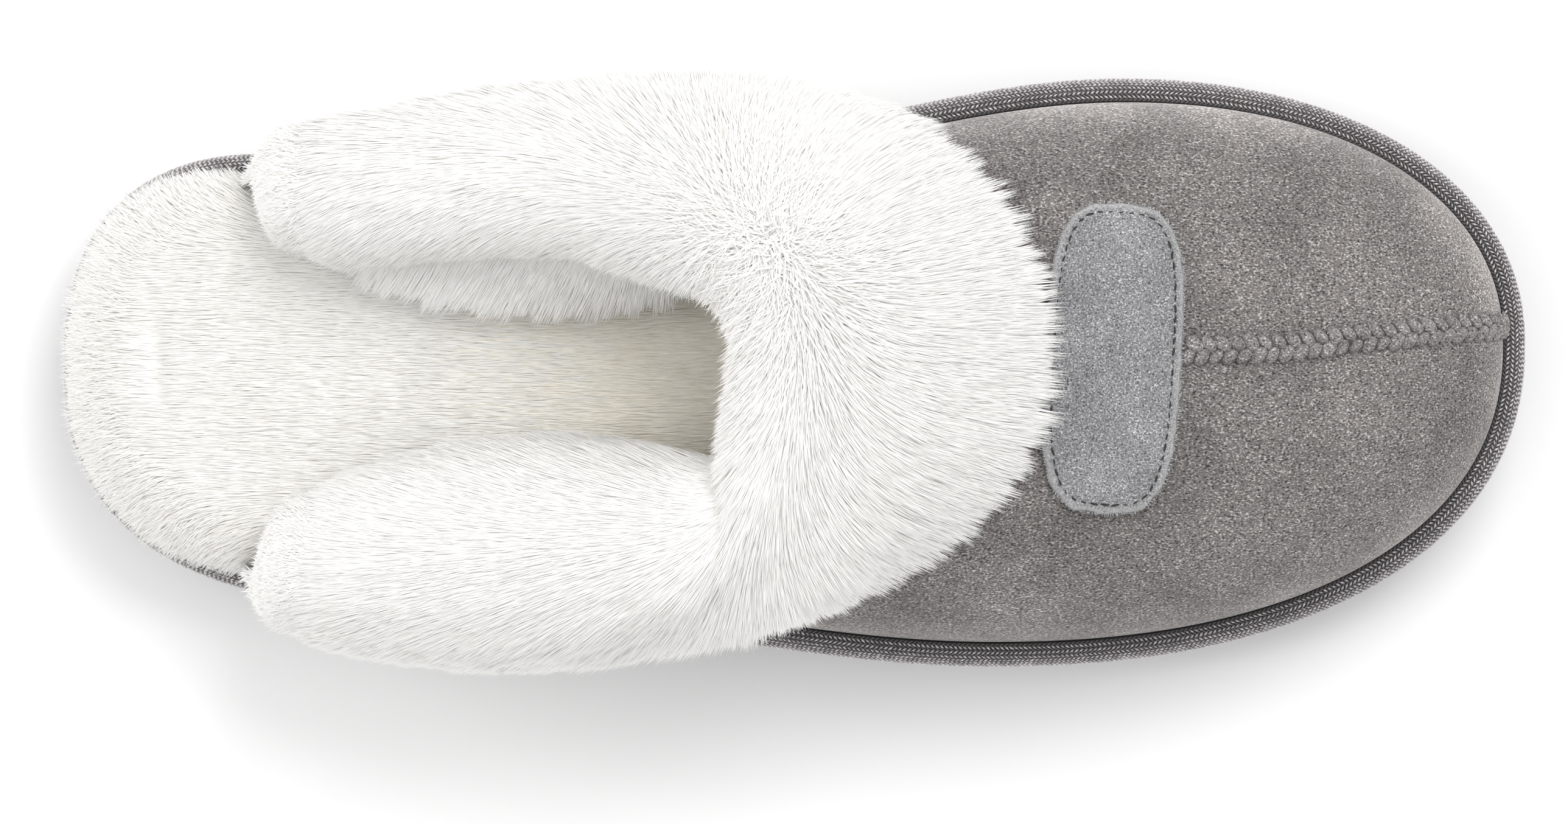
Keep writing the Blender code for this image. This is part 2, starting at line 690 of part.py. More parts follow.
def build_cuff(parent):
    stations = cuff_stations()
    outlines = []
    for index, row in enumerate(stations):
        from_end = min(index, len(stations) - 1 - index)
        overhang = CUFF_END_OVERHANG * max(0.0, 1 - from_end / CUFF_SUBSTEPS)
        outlines.append(cuff_section(row, overhang))
    shape = bmesh.new()
    sections = [[shape.verts.new(point) for point in section] for section in outlines]
    first_end = [shape.verts.new(point) for point in cuff_end(outlines[0])]
    last_end = [shape.verts.new(point) for point in cuff_end(outlines[-1])]
    strips = [bridge(shape, first, second, True) for first, second in zip(sections, sections[1:])]
    bridge(shape, first_end, sections[0], True)
    bridge(shape, sections[-1], last_end, True)
    shape.faces.new(first_end)
    shape.faces.new(last_end)
    bmesh.ops.recalc_face_normals(shape, faces=shape.faces)
    grow_cuff_locks(shape, strips)
    bmesh.ops.triangulate(shape, faces=[face for face in shape.faces if len(face.verts) > 4])
    new_object("cuff", shape, PLUSH, parent)


def grow_cuff_locks(shape, strips):
    """Locks on the cuff's fur side: those outside hang to the hem, those inside lean into the opening."""
    chance = random.Random(LOCK_SEED)
    crest = len(CUFF_OUTER_SHARES)
    crease = crest + len(CUFF_TURNS)
    for row, strip in enumerate(strips):
        for index in range(row % 2, crease + 2, 2):
            if index == crease:
                continue
            face = strip[index]
            corners = [vertex.co.copy() for vertex in face.verts]
            upwards = (corners[1] + corners[2] - corners[0] - corners[3]).normalized()
            width = (corners[3] + corners[2] - corners[0] - corners[1]).length / 2
            room = min(1.0, width / CUFF_LOCK_WIDTH) * chance.uniform(0.75, 1.0)
            if index < crest:
                reach = (face.normal * 0.35 - upwards) * CUFF_LOCK_LENGTH
            else:
                reach = (face.normal * 0.7 + upwards * 0.7) * CUFF_INNER_LOCK_LENGTH
            grow_lock(shape, face, face.calc_center_median() + reach * room)


def clear_scene():
    for old in list(bpy.data.objects):
        bpy.data.objects.remove(old)


def centre_slipper(root):
    """Moves the root so that the middle of the slipper's box stands over the origin."""
    corners = [vertex.co for piece in root.children for vertex in piece.data.vertices]
    for axis in (0, 1):
        values = [corner[axis] for corner in corners]
        root.location[axis] = -(min(values) + max(values)) / 2


def main():
    clear_scene()
    root = bpy.data.objects.new("slipper", None)
    bpy.context.scene.collection.objects.link(root)
    build_outsole(root)
    build_midsole(root)
    build_binding(root)
    build_insole(root)
    build_upper(root)
    build_toe_seam(root)
    build_patch(root)
    build_cuff(root)
    centre_slipper(root)


main()
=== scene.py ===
# House slipper, right foot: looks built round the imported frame
import math
import random

import bmesh
import bpy
import numpy as np
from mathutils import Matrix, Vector


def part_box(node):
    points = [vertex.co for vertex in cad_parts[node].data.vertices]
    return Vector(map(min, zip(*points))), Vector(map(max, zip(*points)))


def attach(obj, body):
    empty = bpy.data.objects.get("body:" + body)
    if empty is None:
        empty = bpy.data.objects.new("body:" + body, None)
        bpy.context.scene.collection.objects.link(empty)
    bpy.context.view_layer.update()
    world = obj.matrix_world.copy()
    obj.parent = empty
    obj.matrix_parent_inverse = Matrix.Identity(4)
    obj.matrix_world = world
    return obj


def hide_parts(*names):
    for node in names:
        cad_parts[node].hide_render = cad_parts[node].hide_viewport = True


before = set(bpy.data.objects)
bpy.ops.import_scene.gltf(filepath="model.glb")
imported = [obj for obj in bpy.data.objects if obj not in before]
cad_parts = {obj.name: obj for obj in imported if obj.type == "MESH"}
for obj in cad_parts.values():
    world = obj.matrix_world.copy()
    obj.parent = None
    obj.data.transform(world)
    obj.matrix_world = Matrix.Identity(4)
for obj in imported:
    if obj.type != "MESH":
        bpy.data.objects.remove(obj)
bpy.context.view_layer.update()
mm = 0.001
print("frame loaded:", len(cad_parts), "nodes")

# The last, as in the part's source: X heel to toe, Y to the inner side, Z up
last = {
    "length": 270 * mm, "toeTipY": 4 * mm,
    "springStart": 200 * mm, "toeSpring": 9 * mm,
    "heelStack": 20.5 * mm, "ballStack": 18 * mm,
    "outsoleThick": 5.5 * mm, "seatGap": 0.3 * mm,
    "archRise": 2.5 * mm, "archEnds": (82 * mm, 100 * mm, 134 * mm, 152 * mm),
    "bevelRise": 1.5 * mm, "bevelLength": 14 * mm, "cadSteps": 34,
}
medialSide = {
    "sign": 1, "ballX": 196 * mm, "ballHalf": 53 * mm, "toePower": 2.15,
    "waistX": 90 * mm, "waistHalf": 36.5 * mm,
    "heelX": 38 * mm, "heelHalf": 39 * mm, "heelPower": 2.4,
}
lateralSide = {
    "sign": -1, "ballX": 172 * mm, "ballHalf": 55.75 * mm, "toePower": 2.25,
    "waistX": 60 * mm, "waistHalf": 44 * mm,
    "heelX": 60 * mm, "heelHalf": 44 * mm, "heelPower": 2.4,
}


def mix(low, high, share):
    return low + (high - low) * share


def smooth(share):
    share = min(max(share, 0.0), 1.0)
    return share * share * (3 - 2 * share)


def fade(x, start, end):
    return smooth((x - start) / (end - start))


def catmull(before, start, end, after, share):
    slopeIn, slopeOut = (end - before) / 2, (after - start) / 2
    bend = 3 * (end - start) - 2 * slopeIn - slopeOut
    turn = 2 * (start - end) + slopeIn + slopeOut
    return start + share * (slopeIn + share * (bend + share * turn))


# A column of a table at x, on a smooth curve through its rows
def curveAt(rows, x, column=1):
    lastRow = len(rows) - 2
    index = 0
    while index < lastRow and x > rows[index + 1][0]:
        index += 1
    share = (x - rows[index][0]) / (rows[index + 1][0] - rows[index][0])
    picks = [rows[min(max(index + step, 0), lastRow + 1)][column] for step in (-1, 0, 1, 2)]
    return catmull(*picks, share)


def soleEdge(x, side):
    if x >= side["ballX"]:
        reach = min((x - side["ballX"]) / (last["length"] - side["ballX"]), 1.0)
        spread = (1 - reach ** side["toePower"]) ** (1 / side["toePower"])
        return mix(last["toeTipY"], side["sign"] * side["ballHalf"], spread)
    if x <= side["heelX"]:
        reach = 1 - x / side["heelX"]
        return side["sign"] * side["heelHalf"] * (1 - reach ** side["heelPower"]) ** (1 / side["heelPower"])
    if x <= side["waistX"]:
        share = fade(x, side["heelX"], side["waistX"])
        return side["sign"] * mix(side["heelHalf"], side["waistHalf"], share)
    share = fade(x, side["waistX"], side["ballX"])
    return side["sign"] * mix(side["waistHalf"], side["ballHalf"], share)


def soleOutline(steps):
    spots = [last["length"] * (1 - math.cos(math.pi * k / steps)) / 2 for k in range(steps + 1)]
    medial = [(x, soleEdge(x, medialSide)) for x in spots[1:-1]]
    lateral = [(x, soleEdge(x, lateralSide)) for x in reversed(spots[1:-1])]
    return np.array([(0, 0), *medial, (last["length"], last["toeTipY"]), *lateral])


# The medial and lateral halves of a plan loop, each from heel to toe
def splitLoop(loop):
    half = len(loop) // 2
    return loop[:half + 1], np.concatenate([loop[:1], loop[half:][::-1]])


def unitLength(vectors, least=1e-12):
    return vectors / np.maximum(np.linalg.norm(vectors, axis=-1, keepdims=True), least)


# Moves a closed plan loop to the inside by one inset or one for each point
def insetLoop(loop, inset):
    along = unitLength(np.roll(loop, -1, axis=0) - np.roll(loop, 1, axis=0))
    inward = np.stack([along[:, 1], -along[:, 0]], axis=1)
    return loop + inward * np.broadcast_to(inset, len(loop))[:, None]


def toeLift(x):
    reach = max(0.0, (x - last["springStart"]) / (last["length"] - last["springStart"]))
    return last["toeSpring"] * reach * reach


def platformTop(x):
    share = fade(x, lateralSide["heelX"], medialSide["ballX"])
    return toeLift(x) + mix(last["heelStack"], last["ballStack"], share)


def platformFoot(x):
    return toeLift(x) + last["outsoleThick"] + last["seatGap"]


# The frame's binding says where the last stands in the row frame
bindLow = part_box("binding")[0]
shift = Vector((bindLow.x, bindLow.y - soleOutline(last["cadSteps"])[:, 1].min(), 0))

# The upper's surface
upper = {
    "featherInset": 5.45 * mm, "featherSteps": 160, "wall": 2.5 * mm,
    "backX": 40 * mm, "focusX": 222 * mm, "fanMargin": 4 * mm,
    "acrossPower": 2.8, "risePower": 2.2, "puff": 3.5 * mm,
    "throatX": 136 * mm, "backAngle": 17.0, "collarPower": 1.5,
    "ridge": [
        (0 * mm, 0.0 * mm, 88 * mm), (36 * mm, 0.0 * mm, 84 * mm), (100 * mm, 0.0 * mm, 76.5 * mm),
        (136 * mm, 0.0 * mm, 71 * mm), (184 * mm, 0.0 * mm, 61.5 * mm), (222 * mm, 1.6 * mm, 55 * mm),
        (240 * mm, 3.4 * mm, 51.8 * mm),
    ],
    "sideSteps": 46, "vampSteps": 28, "toeSteps": 60, "ribSteps": 34,
}
featherLoop = insetLoop(soleOutline(upper["featherSteps"]), upper["featherInset"])
featherMedial, featherLateral = splitLoop(featherLoop)


def ridgeAt(x):
    return Vector((x, curveAt(upper["ridge"], x, 1), curveAt(upper["ridge"], x, 2)))


def crossRib(x, side):
    chain = featherMedial if side is medialSide else featherLateral
    foot = float(np.interp(x, *chain.T))
    return Vector((x, foot, platformTop(x) + last["seatGap"])), ridgeAt(x), 0.0


# A rib of the toe's fan, from the feather line back to the focus on the ridge
def toeRib(angle):
    crown = ridgeAt(upper["focusX"])
    ahead = featherLoop[featherLoop[:, 0] > upper["focusX"] - upper["fanMargin"]]
    bearings = np.arctan2(ahead[:, 1] - crown.y, ahead[:, 0] - crown.x)
    order = np.argsort(bearings)
    footX = float(np.interp(angle, bearings[order], ahead[order, 0]))
    footY = float(np.interp(angle, bearings[order], ahead[order, 1]))
    step = 2 * mm
    fall = (ridgeAt(upper["focusX"] + step).z - ridgeAt(upper["focusX"] - step).z) / (2 * step)
    return Vector((footX, footY, platformTop(footX) + last["seatGap"])), crown, fall * math.cos(angle)


# A point on a rib, theta from 0 at the feather line to 90 degrees at the ridge
def ribPoint(rib, theta):
    base, crown, slope = rib
    turn = math.radians(theta)
    flat = Vector((base.x - crown.x, base.y - crown.y, 0))
    span = flat.length
    out = max(math.cos(turn), 0.0) ** (2 / upper["acrossPower"])
    rise = max(math.sin(turn), 0.0) ** (2 / upper["risePower"])
    spot = crown + flat * (out + upper["puff"] / span * math.sin(2 * turn))
    spot.z = mix(base.z, crown.z + slope * span * out, rise)
    return spot


# Girth runs from 0 at the medial feather line over 90 at the ridge to 180 lateral
def instepPoint(x, girth):
    if girth <= 90:
        return ribPoint(crossRib(x, medialSide), girth)
    return ribPoint(crossRib(x, lateralSide), 180 - girth)


def instepNormal(x, girth):
    along = instepPoint(x + mm, girth) - instepPoint(x - mm, girth)
    around = instepPoint(x, min(girth + 1, 180)) - instepPoint(x, max(girth - 1, 0))
    return around.cross(along).normalized()


def instepGirth(x, y):
    low, high = 0.0, 180.0
    for _ in range(26):
        middle = (low + high) / 2
        if instepPoint(x, middle).y > y:
            low = middle
        else:
            high = middle
    return low


def collarAngle(x):
    reach = min(max((x - upper["backX"]) / (upper["throatX"] - upper["backX"]), 0.0), 1.0)
    return 90 - (90 - upper["backAngle"]) * math.sqrt(1 - reach ** upper["collarPower"])


def collarX(angle):
    share = min((90 - angle) / (90 - upper["backAngle"]), 1.0)
    return mix(upper["backX"], upper["throatX"], (1 - share * share) ** (1 / upper["collarPower"]))


# Mesh helpers

def gridFaces(rows, columns, closedColumns=False, closedRows=False):
    faces = []
    for r in range(rows if closedRows else rows - 1):
        for c in range(columns if closedColumns else columns - 1):
            r2, c2 = (r + 1) % rows, (c + 1) % columns
            faces.append((r * columns + c, r * columns + c2, r2 * columns + c2, r2 * columns + c))
    return faces


def capFaces(start, count):
    half = count // 2
    faces = []
    for k in range(half):
        ring = [k, k + 1, (2 * half - k - 1) % count, (2 * half - k) % count]
        faces.append(tuple(start + i for i in dict.fromkeys(ring)))
    return faces


def closeLoop(loop):
    return np.concatenate([loop, loop[:1]])


# The distance run at each point of a line
def travelAlong(line):
    return np.cumsum([0, *np.linalg.norm(np.diff(line, axis=0), axis=1)])


def pointsAt(line, travel, distances):
    return np.stack([np.interp(distances, travel, axis) for axis in line.T], axis=-1)


# A curve is (positions, values)
def readCurve(curve, at):
    return np.interp(at, *curve)


def addObject(name, data):
    made = bpy.data.objects.new(name, data)
    bpy.context.scene.collection.objects.link(made)
    return made


def plainMesh(name, points, faces, *materials):
    mesh = bpy.data.meshes.new(name)
    mesh.from_pydata(points, [], faces)
    for material in materials:
        mesh.materials.append(material)
    return mesh


def makePiece(name, points, faces, *materials):
    placed = np.array([tuple(p) for p in points], float) + np.array(shift)
    mesh = plainMesh(name, placed.tolist(), faces, *materials)
    mesh.shade_smooth()
    return addObject(name, mesh)


def cleanMesh(piece, merge=0.02 * mm):
    shape = bmesh.new()
    shape.from_mesh(piece.data)
    if merge:
        bmesh.ops.remove_doubles(shape, verts=shape.verts, dist=merge)
    bmesh.ops.recalc_face_normals(shape, faces=shape.faces)
    shape.to_mesh(piece.data)
    shape.free()


def faceUp(piece):
    if sum(face.normal.z * face.area for face in piece.data.polygons) < 0:
        piece.data.flip_normals()


def keepSharp(piece, angle):
    piece.data.set_sharp_from_angle(angle=math.radians(angle))


def setAttribute(mesh, name, kind, values):
    made = mesh.attributes.new(name, kind, "POINT")
    field = "vector" if kind == "FLOAT_VECTOR" else "value"
    made.data.foreach_set(field, np.asarray(values, np.float32).ravel())


def dress(piece, slotName, *nodes):
    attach(piece, "root")
    if nodes:
        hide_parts(*nodes)
    return piece


# Node helpers

# A value in a node tree: each sign between two of them adds a math node
class wire:
    def __init__(self, tree, socket, vector=False):
        self.tree, self.socket, self.vector = tree, socket, vector

    def calc(self, operation, *others):
        inputs = dict(enumerate((self, *others)))
        if operation == "SCALE":
            inputs = {0: self, "Scale": others[0]}
        kind = "ShaderNodeVectorMath" if self.vector else "ShaderNodeMath"
        output = "Value" if operation == "DOT_PRODUCT" else 0
        return wired(self.tree, kind, inputs, output, self.vector and not output, operation=operation)

    def __add__(self, other):
        return self.calc("ADD", other)

    def __sub__(self, other):
        return self.calc("SUBTRACT", other)

    def __mul__(self, other):
        scales = self.vector and not (isinstance(other, wire) and other.vector)
        return self.calc("SCALE" if scales else "MULTIPLY", other)


def plug(tree, target, value):
    if isinstance(value, wire):
        tree.links.new(value.socket, target)
    else:
        target.default_value = value


def addNode(tree, kind, inputs=None, **settings):
    made = tree.nodes.new(kind)
    for key, value in settings.items():
        setattr(made, key, value)
    for key, value in (inputs or {}).items():
        plug(tree, made.inputs[key], value)
    return made


def wired(tree, kind, inputs=None, output=0, vector=False, **settings):
    return wire(tree, addNode(tree, kind, inputs, **settings).outputs[output], vector)


def newTree(name, kind, inputs, outputs):
    tree = bpy.data.node_groups.new(name, kind)
    for label, socketType, value in inputs:
        socket = tree.interface.new_socket(label, in_out="INPUT", socket_type="NodeSocket" + socketType)
        if value is not None:
            socket.default_value = value
    for label, socketType in outputs:
        tree.interface.new_socket(label, in_out="OUTPUT", socket_type="NodeSocket" + socketType)
    given = {socket.name: wire(tree, socket) for socket in tree.nodes.new("NodeGroupInput").outputs}
    return tree, given, tree.nodes.new("NodeGroupOutput").inputs


def newMaterial(name, constants):
    material = bpy.data.materials.new(name)
    material.use_nodes = True
    tree = material.node_tree
    shader = tree.nodes["Principled BSDF"]
    for key, value in constants.items():
        shader.inputs[key].default_value = value
    return material, tree, shader


def ramp(tree, factor, *stops):
    made = addNode(tree, "ShaderNodeValToRGB", {"Fac": factor})
    elements = made.color_ramp.elements
    while len(elements) < len(stops):
        elements.new(0.5)
    for element, (position, color) in zip(elements, stops):
        element.position = position
        element.color = (*color, 1) if isinstance(color, tuple) else (color, color, color, 1)
    return wire(tree, made.outputs["Color"], True)


def blendColor(tree, first, second, factor=1.0, blendType="MULTIPLY"):
    inputs = {0: factor, 6: first, 7: second}
    return wired(tree, "ShaderNodeMix", inputs, 2, True, data_type="RGBA", blend_type=blendType)


def objectCoords(tree):
    return wired(tree, "ShaderNodeTexCoord", output="Object", vector=True)


def noise(tree, scale, detail=2.0, roughness=0.5, coords=None):
    inputs = {"Vector": coords or objectCoords(tree), "Scale": scale, "Detail": detail, "Roughness": roughness}
    return wired(tree, "ShaderNodeTexNoise", inputs)


def meshField(tree, name):
    return wired(tree, "ShaderNodeAttribute", output="Fac", attribute_name=name)


def mapAxes(tree, name):
    uv = wired(tree, "ShaderNodeUVMap", vector=True, uv_map=name)
    return [wire(tree, socket) for socket in addNode(tree, "ShaderNodeSeparateXYZ", {0: uv}).outputs]


def setLook(tree, shader, color, height=None, depth=0.0, roughness=None):
    plug(tree, shader.inputs["Base Color"], color)
    if roughness:
        plug(tree, shader.inputs["Roughness"], roughness)
    if height:
        bump = wired(tree, "ShaderNodeBump", {"Height": height, "Distance": depth}, "Normal", True)
        plug(tree, shader.inputs["Normal"], bump)


# Brushed nap with fine flecks, streaks along the last and soft blotches
def napGrainGroup():
    tree, given, out = newTree("napGrain", "ShaderNodeTree", [
        ("Fleck Scale", "Float", 2600.0), ("Streak", "Float", 0.35), ("Blotch Scale", "Float", 110.0),
    ], [("Fleck", "Float"), ("Blotch", "Float"), ("Height", "Float")])
    coords = objectCoords(tree)
    stretch = wired(tree, "ShaderNodeCombineXYZ", {"X": given["Streak"], "Y": 1.0, "Z": 1.0}, vector=True)
    fleck = noise(tree, given["Fleck Scale"], 1.0, 0.6, coords * stretch)
    pile = noise(tree, given["Fleck Scale"] * 0.45, 3.0, coords=coords)
    plug(tree, out["Fleck"], fleck)
    plug(tree, out["Blotch"], noise(tree, given["Blotch Scale"], 4.0, 0.66, coords))
    plug(tree, out["Height"], pile * 0.6 + fleck * 0.4)
    return tree


napGrain = napGrainGroup()

# fleck scale, streak, blotch scale and bump depth, then dark, base and light fibre
suedes = {
    "suede": (3300.0, 0.62, 42.0, 0.25 * mm,
              (0.03, 0.028, 0.027), (0.176, 0.162, 0.156), (0.52, 0.495, 0.48)),
    "seamShade": (2800.0, 0.8, 160.0, 0.2 * mm,
                  (0.036, 0.032, 0.031), (0.09, 0.083, 0.079), (0.2, 0.19, 0.185)),
    "seamSuede": (3000.0, 0.8, 160.0, 0.25 * mm,
                  (0.06, 0.055, 0.053), (0.222, 0.206, 0.2), (0.6, 0.57, 0.555)),
    "patchSuede": (3300.0, 0.9, 60.0, 0.15 * mm,
                   (0.062, 0.062, 0.064), (0.224, 0.224, 0.231), (0.56, 0.56, 0.57)),
    "rawFray": (2800.0, 0.9, 140.0, 0.05 * mm,
                (0.24, 0.24, 0.244), (0.4, 0.4, 0.407), (0.575, 0.575, 0.585)),
}


def suedeMaterial(name, edgeLight=0.0, paintedHighlightGain=0.0):
    fleckScale, streak, blotchScale, bumpDepth, dark, base, light = suedes[name]
    material, tree, shader = newMaterial(name, {
        "Roughness": 0.95, "Specular IOR Level": 0.2, "Sheen Weight": 0.12, "Sheen Roughness": 0.6,
    })
    inputs = {"Fleck Scale": fleckScale, "Streak": streak, "Blotch Scale": blotchScale}
    grain = addNode(tree, "ShaderNodeGroup", inputs, node_tree=napGrain)
    fleck, blotch, height = (wire(tree, grain.outputs[key]) for key in ("Fleck", "Blotch", "Height"))
    color = ramp(tree, fleck, (0.3, dark), (0.46, base), (0.56, base), (0.72, light))
    color = blendColor(tree, color, ramp(tree, blotch, (0.3, 0.74), (0.7, 1.26)))
    # painted highlight and painted shade from the mesh: lighter where the light falls on the vamp, darker in
    # the shaded groove above the tape
    if paintedHighlightGain:
        level = meshField(tree, "highlightAndGrooveShade") * (blotch + 0.5) * 0.5 + 0.5
        color = blendColor(tree, color, ramp(tree, level, (0.0, 0.3), (0.5, 1.0), (1.0, 1.0 + paintedHighlightGain)))
    if edgeLight:
        frayed = meshField(tree, "rawEdge") * (fleck * 1.2 + 0.2)
        color = blendColor(tree, color, (edgeLight, edgeLight, edgeLight, 1), frayed, "MIX")
    setLook(tree, shader, color, height, bumpDepth)
    return material


def threadMaterial():
    material, tree, shader = newMaterial("stitchThread", {"Roughness": 0.8})
    ply = noise(tree, 6000.0, 1.0)
    setLook(tree, shader, ramp(tree, ply, (0.35, 0.012), (0.7, 0.05)), ply, 0.05 * mm)
    return material


# Herringbone tape: threads slant one way, then the other, in bands across the tape
def tapeMaterial():
    weave = {"column": 0.95 * mm, "pitch": 0.9 * mm}
    material, tree, shader = newMaterial("wovenTape", {"Specular IOR Level": 0.45, "Sheen Weight": 0.15})
    lengthwise, crosswise, _ = mapAxes(tree, "tapeWeave")
    slant = crosswise.calc("PINGPONG", weave["column"])
    thread = ((lengthwise + slant) * (2 * math.pi / weave["pitch"])).calc("SINE") * 0.5 + 0.5
    edge = crosswise.calc("PINGPONG", weave["column"] / 2) * (2 / weave["column"])
    cord = thread * edge.calc("POWER", 0.35)
    fibre = noise(tree, 2200.0)
    color = ramp(tree, cord * (fibre * 1.4 + 0.15), (0.0, (0.028, 0.025, 0.026)),
                 (0.4, (0.072, 0.066, 0.068)), (0.8, (0.17, 0.157, 0.162)))
    setLook(tree, shader, color, fibre * 0.25 + cord, 0.3 * mm, cord * -0.2 + 0.8)
    return material


# A fibre's colour runs along it, and its tone differs from fibre to fibre
def fibreMaterial(name, constants, leastTone, *stops):
    material, tree, shader = newMaterial(name, constants)
    tone, along, _ = mapAxes(tree, "OFBake")
    color = blendColor(tree, ramp(tree, along, *stops), ramp(tree, tone, (0.0, leastTone), (1.0, 1.0)))
    setLook(tree, shader, color)
    return material


def pileMaterial(name, root, middle, tip):
    constants = {"Roughness": 0.85, "Specular IOR Level": 0.15}
    return fibreMaterial(name, constants, 0.93, (0.0, root), (0.35, middle), (1.0, tip))


def rubberMaterial():
    material, tree, shader = newMaterial("soleRubber", {})
    grit, scuff = noise(tree, 900.0, 3.0), noise(tree, 40.0, 4.0)
    color = ramp(tree, scuff, (0.35, (0.09, 0.087, 0.087)), (0.7, (0.16, 0.155, 0.153)))
    setLook(tree, shader, color, grit, 0.12 * mm, ramp(tree, grit, (0.3, 0.62), (0.7, 0.82)))
    return material


def foamMaterial():
    material, tree, shader = newMaterial("platformFoam", {"Roughness": 0.85})
    inputs = {"Vector": objectCoords(tree), "Scale": 1400.0}
    cells = wired(tree, "ShaderNodeTexVoronoi", inputs, "Distance")
    setLook(tree, shader, ramp(tree, cells, (0.1, 0.12), (0.7, 0.19)), cells, 0.1 * mm)
    return material


# The fleece behind the pile and inside the upper
def fleeceMaterial(name, shade, base):
    constants = {"Roughness": 1.0, "Specular IOR Level": 0.1, "Sheen Weight": 0.2}
    material, tree, shader = newMaterial(name, constants)
    curl = noise(tree, 700.0, 4.0)
    setLook(tree, shader, ramp(tree, curl, (0.3, shade), (0.65, base)), curl, 0.8 * mm)
    return material


# the vamp's suede takes the painted highlight and painted shade
suede = suedeMaterial("suede", paintedHighlightGain=0.95)
seamShade = suedeMaterial("seamShade")
seamSuede = suedeMaterial("seamSuede")
patchSuede = suedeMaterial("patchSuede", edgeLight=0.43)
rawFray = suedeMaterial("rawFray")
stitchThread = threadMaterial()
wovenTape = tapeMaterial()
# tape threads are painted light at their proud crowns and dark low down: painted highlight and painted shade
tapeThread = fibreMaterial(
    "tapeThread", {"Roughness": 0.62, "Specular IOR Level": 0.4, "Sheen Weight": 0.1}, 0.55,
    (0.0, (0.2, 0.185, 0.19)), (1.0, (1.0, 0.95, 0.96)))
soleRubber = rubberMaterial()
platformFoam = foamMaterial()
lining = fleeceMaterial("liningFleece", (0.96, 0.925, 0.84), (0.98, 0.96, 0.9))
plushBacking = fleeceMaterial("plushBacking", (0.87, 0.85, 0.81), (0.9, 0.885, 0.855))
# the pile's roots, which lie in the pile's own shade, are painted a little brighter and warmer than its tips
cuffPile = pileMaterial("cuffPile", (0.95, 0.93, 0.895), (0.93, 0.922, 0.902), (0.918, 0.911, 0.897))
footbedPile = pileMaterial("footbedPile", (0.955, 0.933, 0.888), (0.93, 0.918, 0.89), (0.915, 0.907, 0.884))
# painted light for the shaded depth of the shoe: brighter, warmer pile
paintedLightPile = pileMaterial("paintedLightPile", (0.99, 0.955, 0.87), (0.99, 0.957, 0.88), (0.985, 0.955, 0.885))
print("materials ready")


# Geometry Nodes helpers

def named(tree, name, kind="FLOAT"):
    isVector = kind == "FLOAT_VECTOR"
    return wired(tree, "GeometryNodeInputNamedAttribute", {"Name": name}, "Attribute", isVector, data_type=kind)


def store(tree, geometry, name, value, kind, domain="POINT"):
    inputs = {"Geometry": geometry, "Name": name, "Value": value}
    return wired(tree, "GeometryNodeStoreNamedAttribute", inputs, data_type=kind, domain=domain)


def chance(tree, low, high, seed, kind="FLOAT", **more):
    isVector = kind == "FLOAT_VECTOR"
    first, output = (0, 0) if isVector else (2, 1)
    inputs = {first: low, first + 1: high, "Seed": seed, **more}
    return wired(tree, "FunctionNodeRandomValue", inputs, output, isVector, data_type=kind)


# Sets a unit on every point and makes the copies real
def plant(tree, points, unit, **placing):
    shape = wired(tree, "GeometryNodeObjectInfo", {"Object": unit}, "Geometry")
    inputs = {"Points": points, "Instance": shape, **placing}
    planted = wired(tree, "GeometryNodeInstanceOnPoints", inputs)
    return wired(tree, "GeometryNodeRealizeInstances", {0: planted})


# The end of a tree: a map of tone and place along the fibre, then the finish
def endTree(tree, given, out, geometry, tone, along):
    uv = wired(tree, "ShaderNodeCombineXYZ", {"X": tone, "Y": along}, vector=True)
    mapped = store(tree, geometry, "OFBake", uv, "FLOAT2", "CORNER")
    inputs = {"Geometry": mapped, "Material": given["Finish"]}
    plug(tree, out[0], wired(tree, "GeometryNodeSetMaterial", inputs))
    return tree


# Runs a tree on a carrier object and keeps the result as a plain mesh
def bakeTree(name, carrier, tree, values):
    modifier = carrier.modifiers.new(name, "NODES")
    modifier.node_group = tree
    for item in tree.interface.items_tree:
        if item.in_out == "INPUT" and item.name in values:
            modifier[item.identifier] = values[item.name]
    depsgraph = bpy.context.evaluated_depsgraph_get()
    mesh = bpy.data.meshes.new_from_object(
        carrier.evaluated_get(depsgraph), preserve_all_data_layers=True, depsgraph=depsgraph)
    carrier.modifiers.remove(modifier)
    bpy.data.objects.remove(carrier)
    mesh.name = name
    return addObject(name, mesh)


# Leaves a baked mesh with its finish, its faces and the maps named
def stripMesh(mesh, finish, *keep):
    for name in [item.name for item in mesh.attributes if not item.is_required and not item.is_internal]:
        if name not in keep:
            mesh.attributes.remove(mesh.attributes[name])
    mesh.materials.clear()
    mesh.materials.append(finish)
    mesh.shade_smooth()


def unitObject(name, points, faces, **fields):
    mesh = plainMesh(name, points, faces)
    for field, values in fields.items():
        setAttribute(mesh, field, "FLOAT", values)
    return addObject(name, mesh)


def unitFromBmesh(name, shape):
    mesh = bpy.data.meshes.new(name)
    shape.to_mesh(mesh)
    shape.free()
    return addObject(name, mesh)


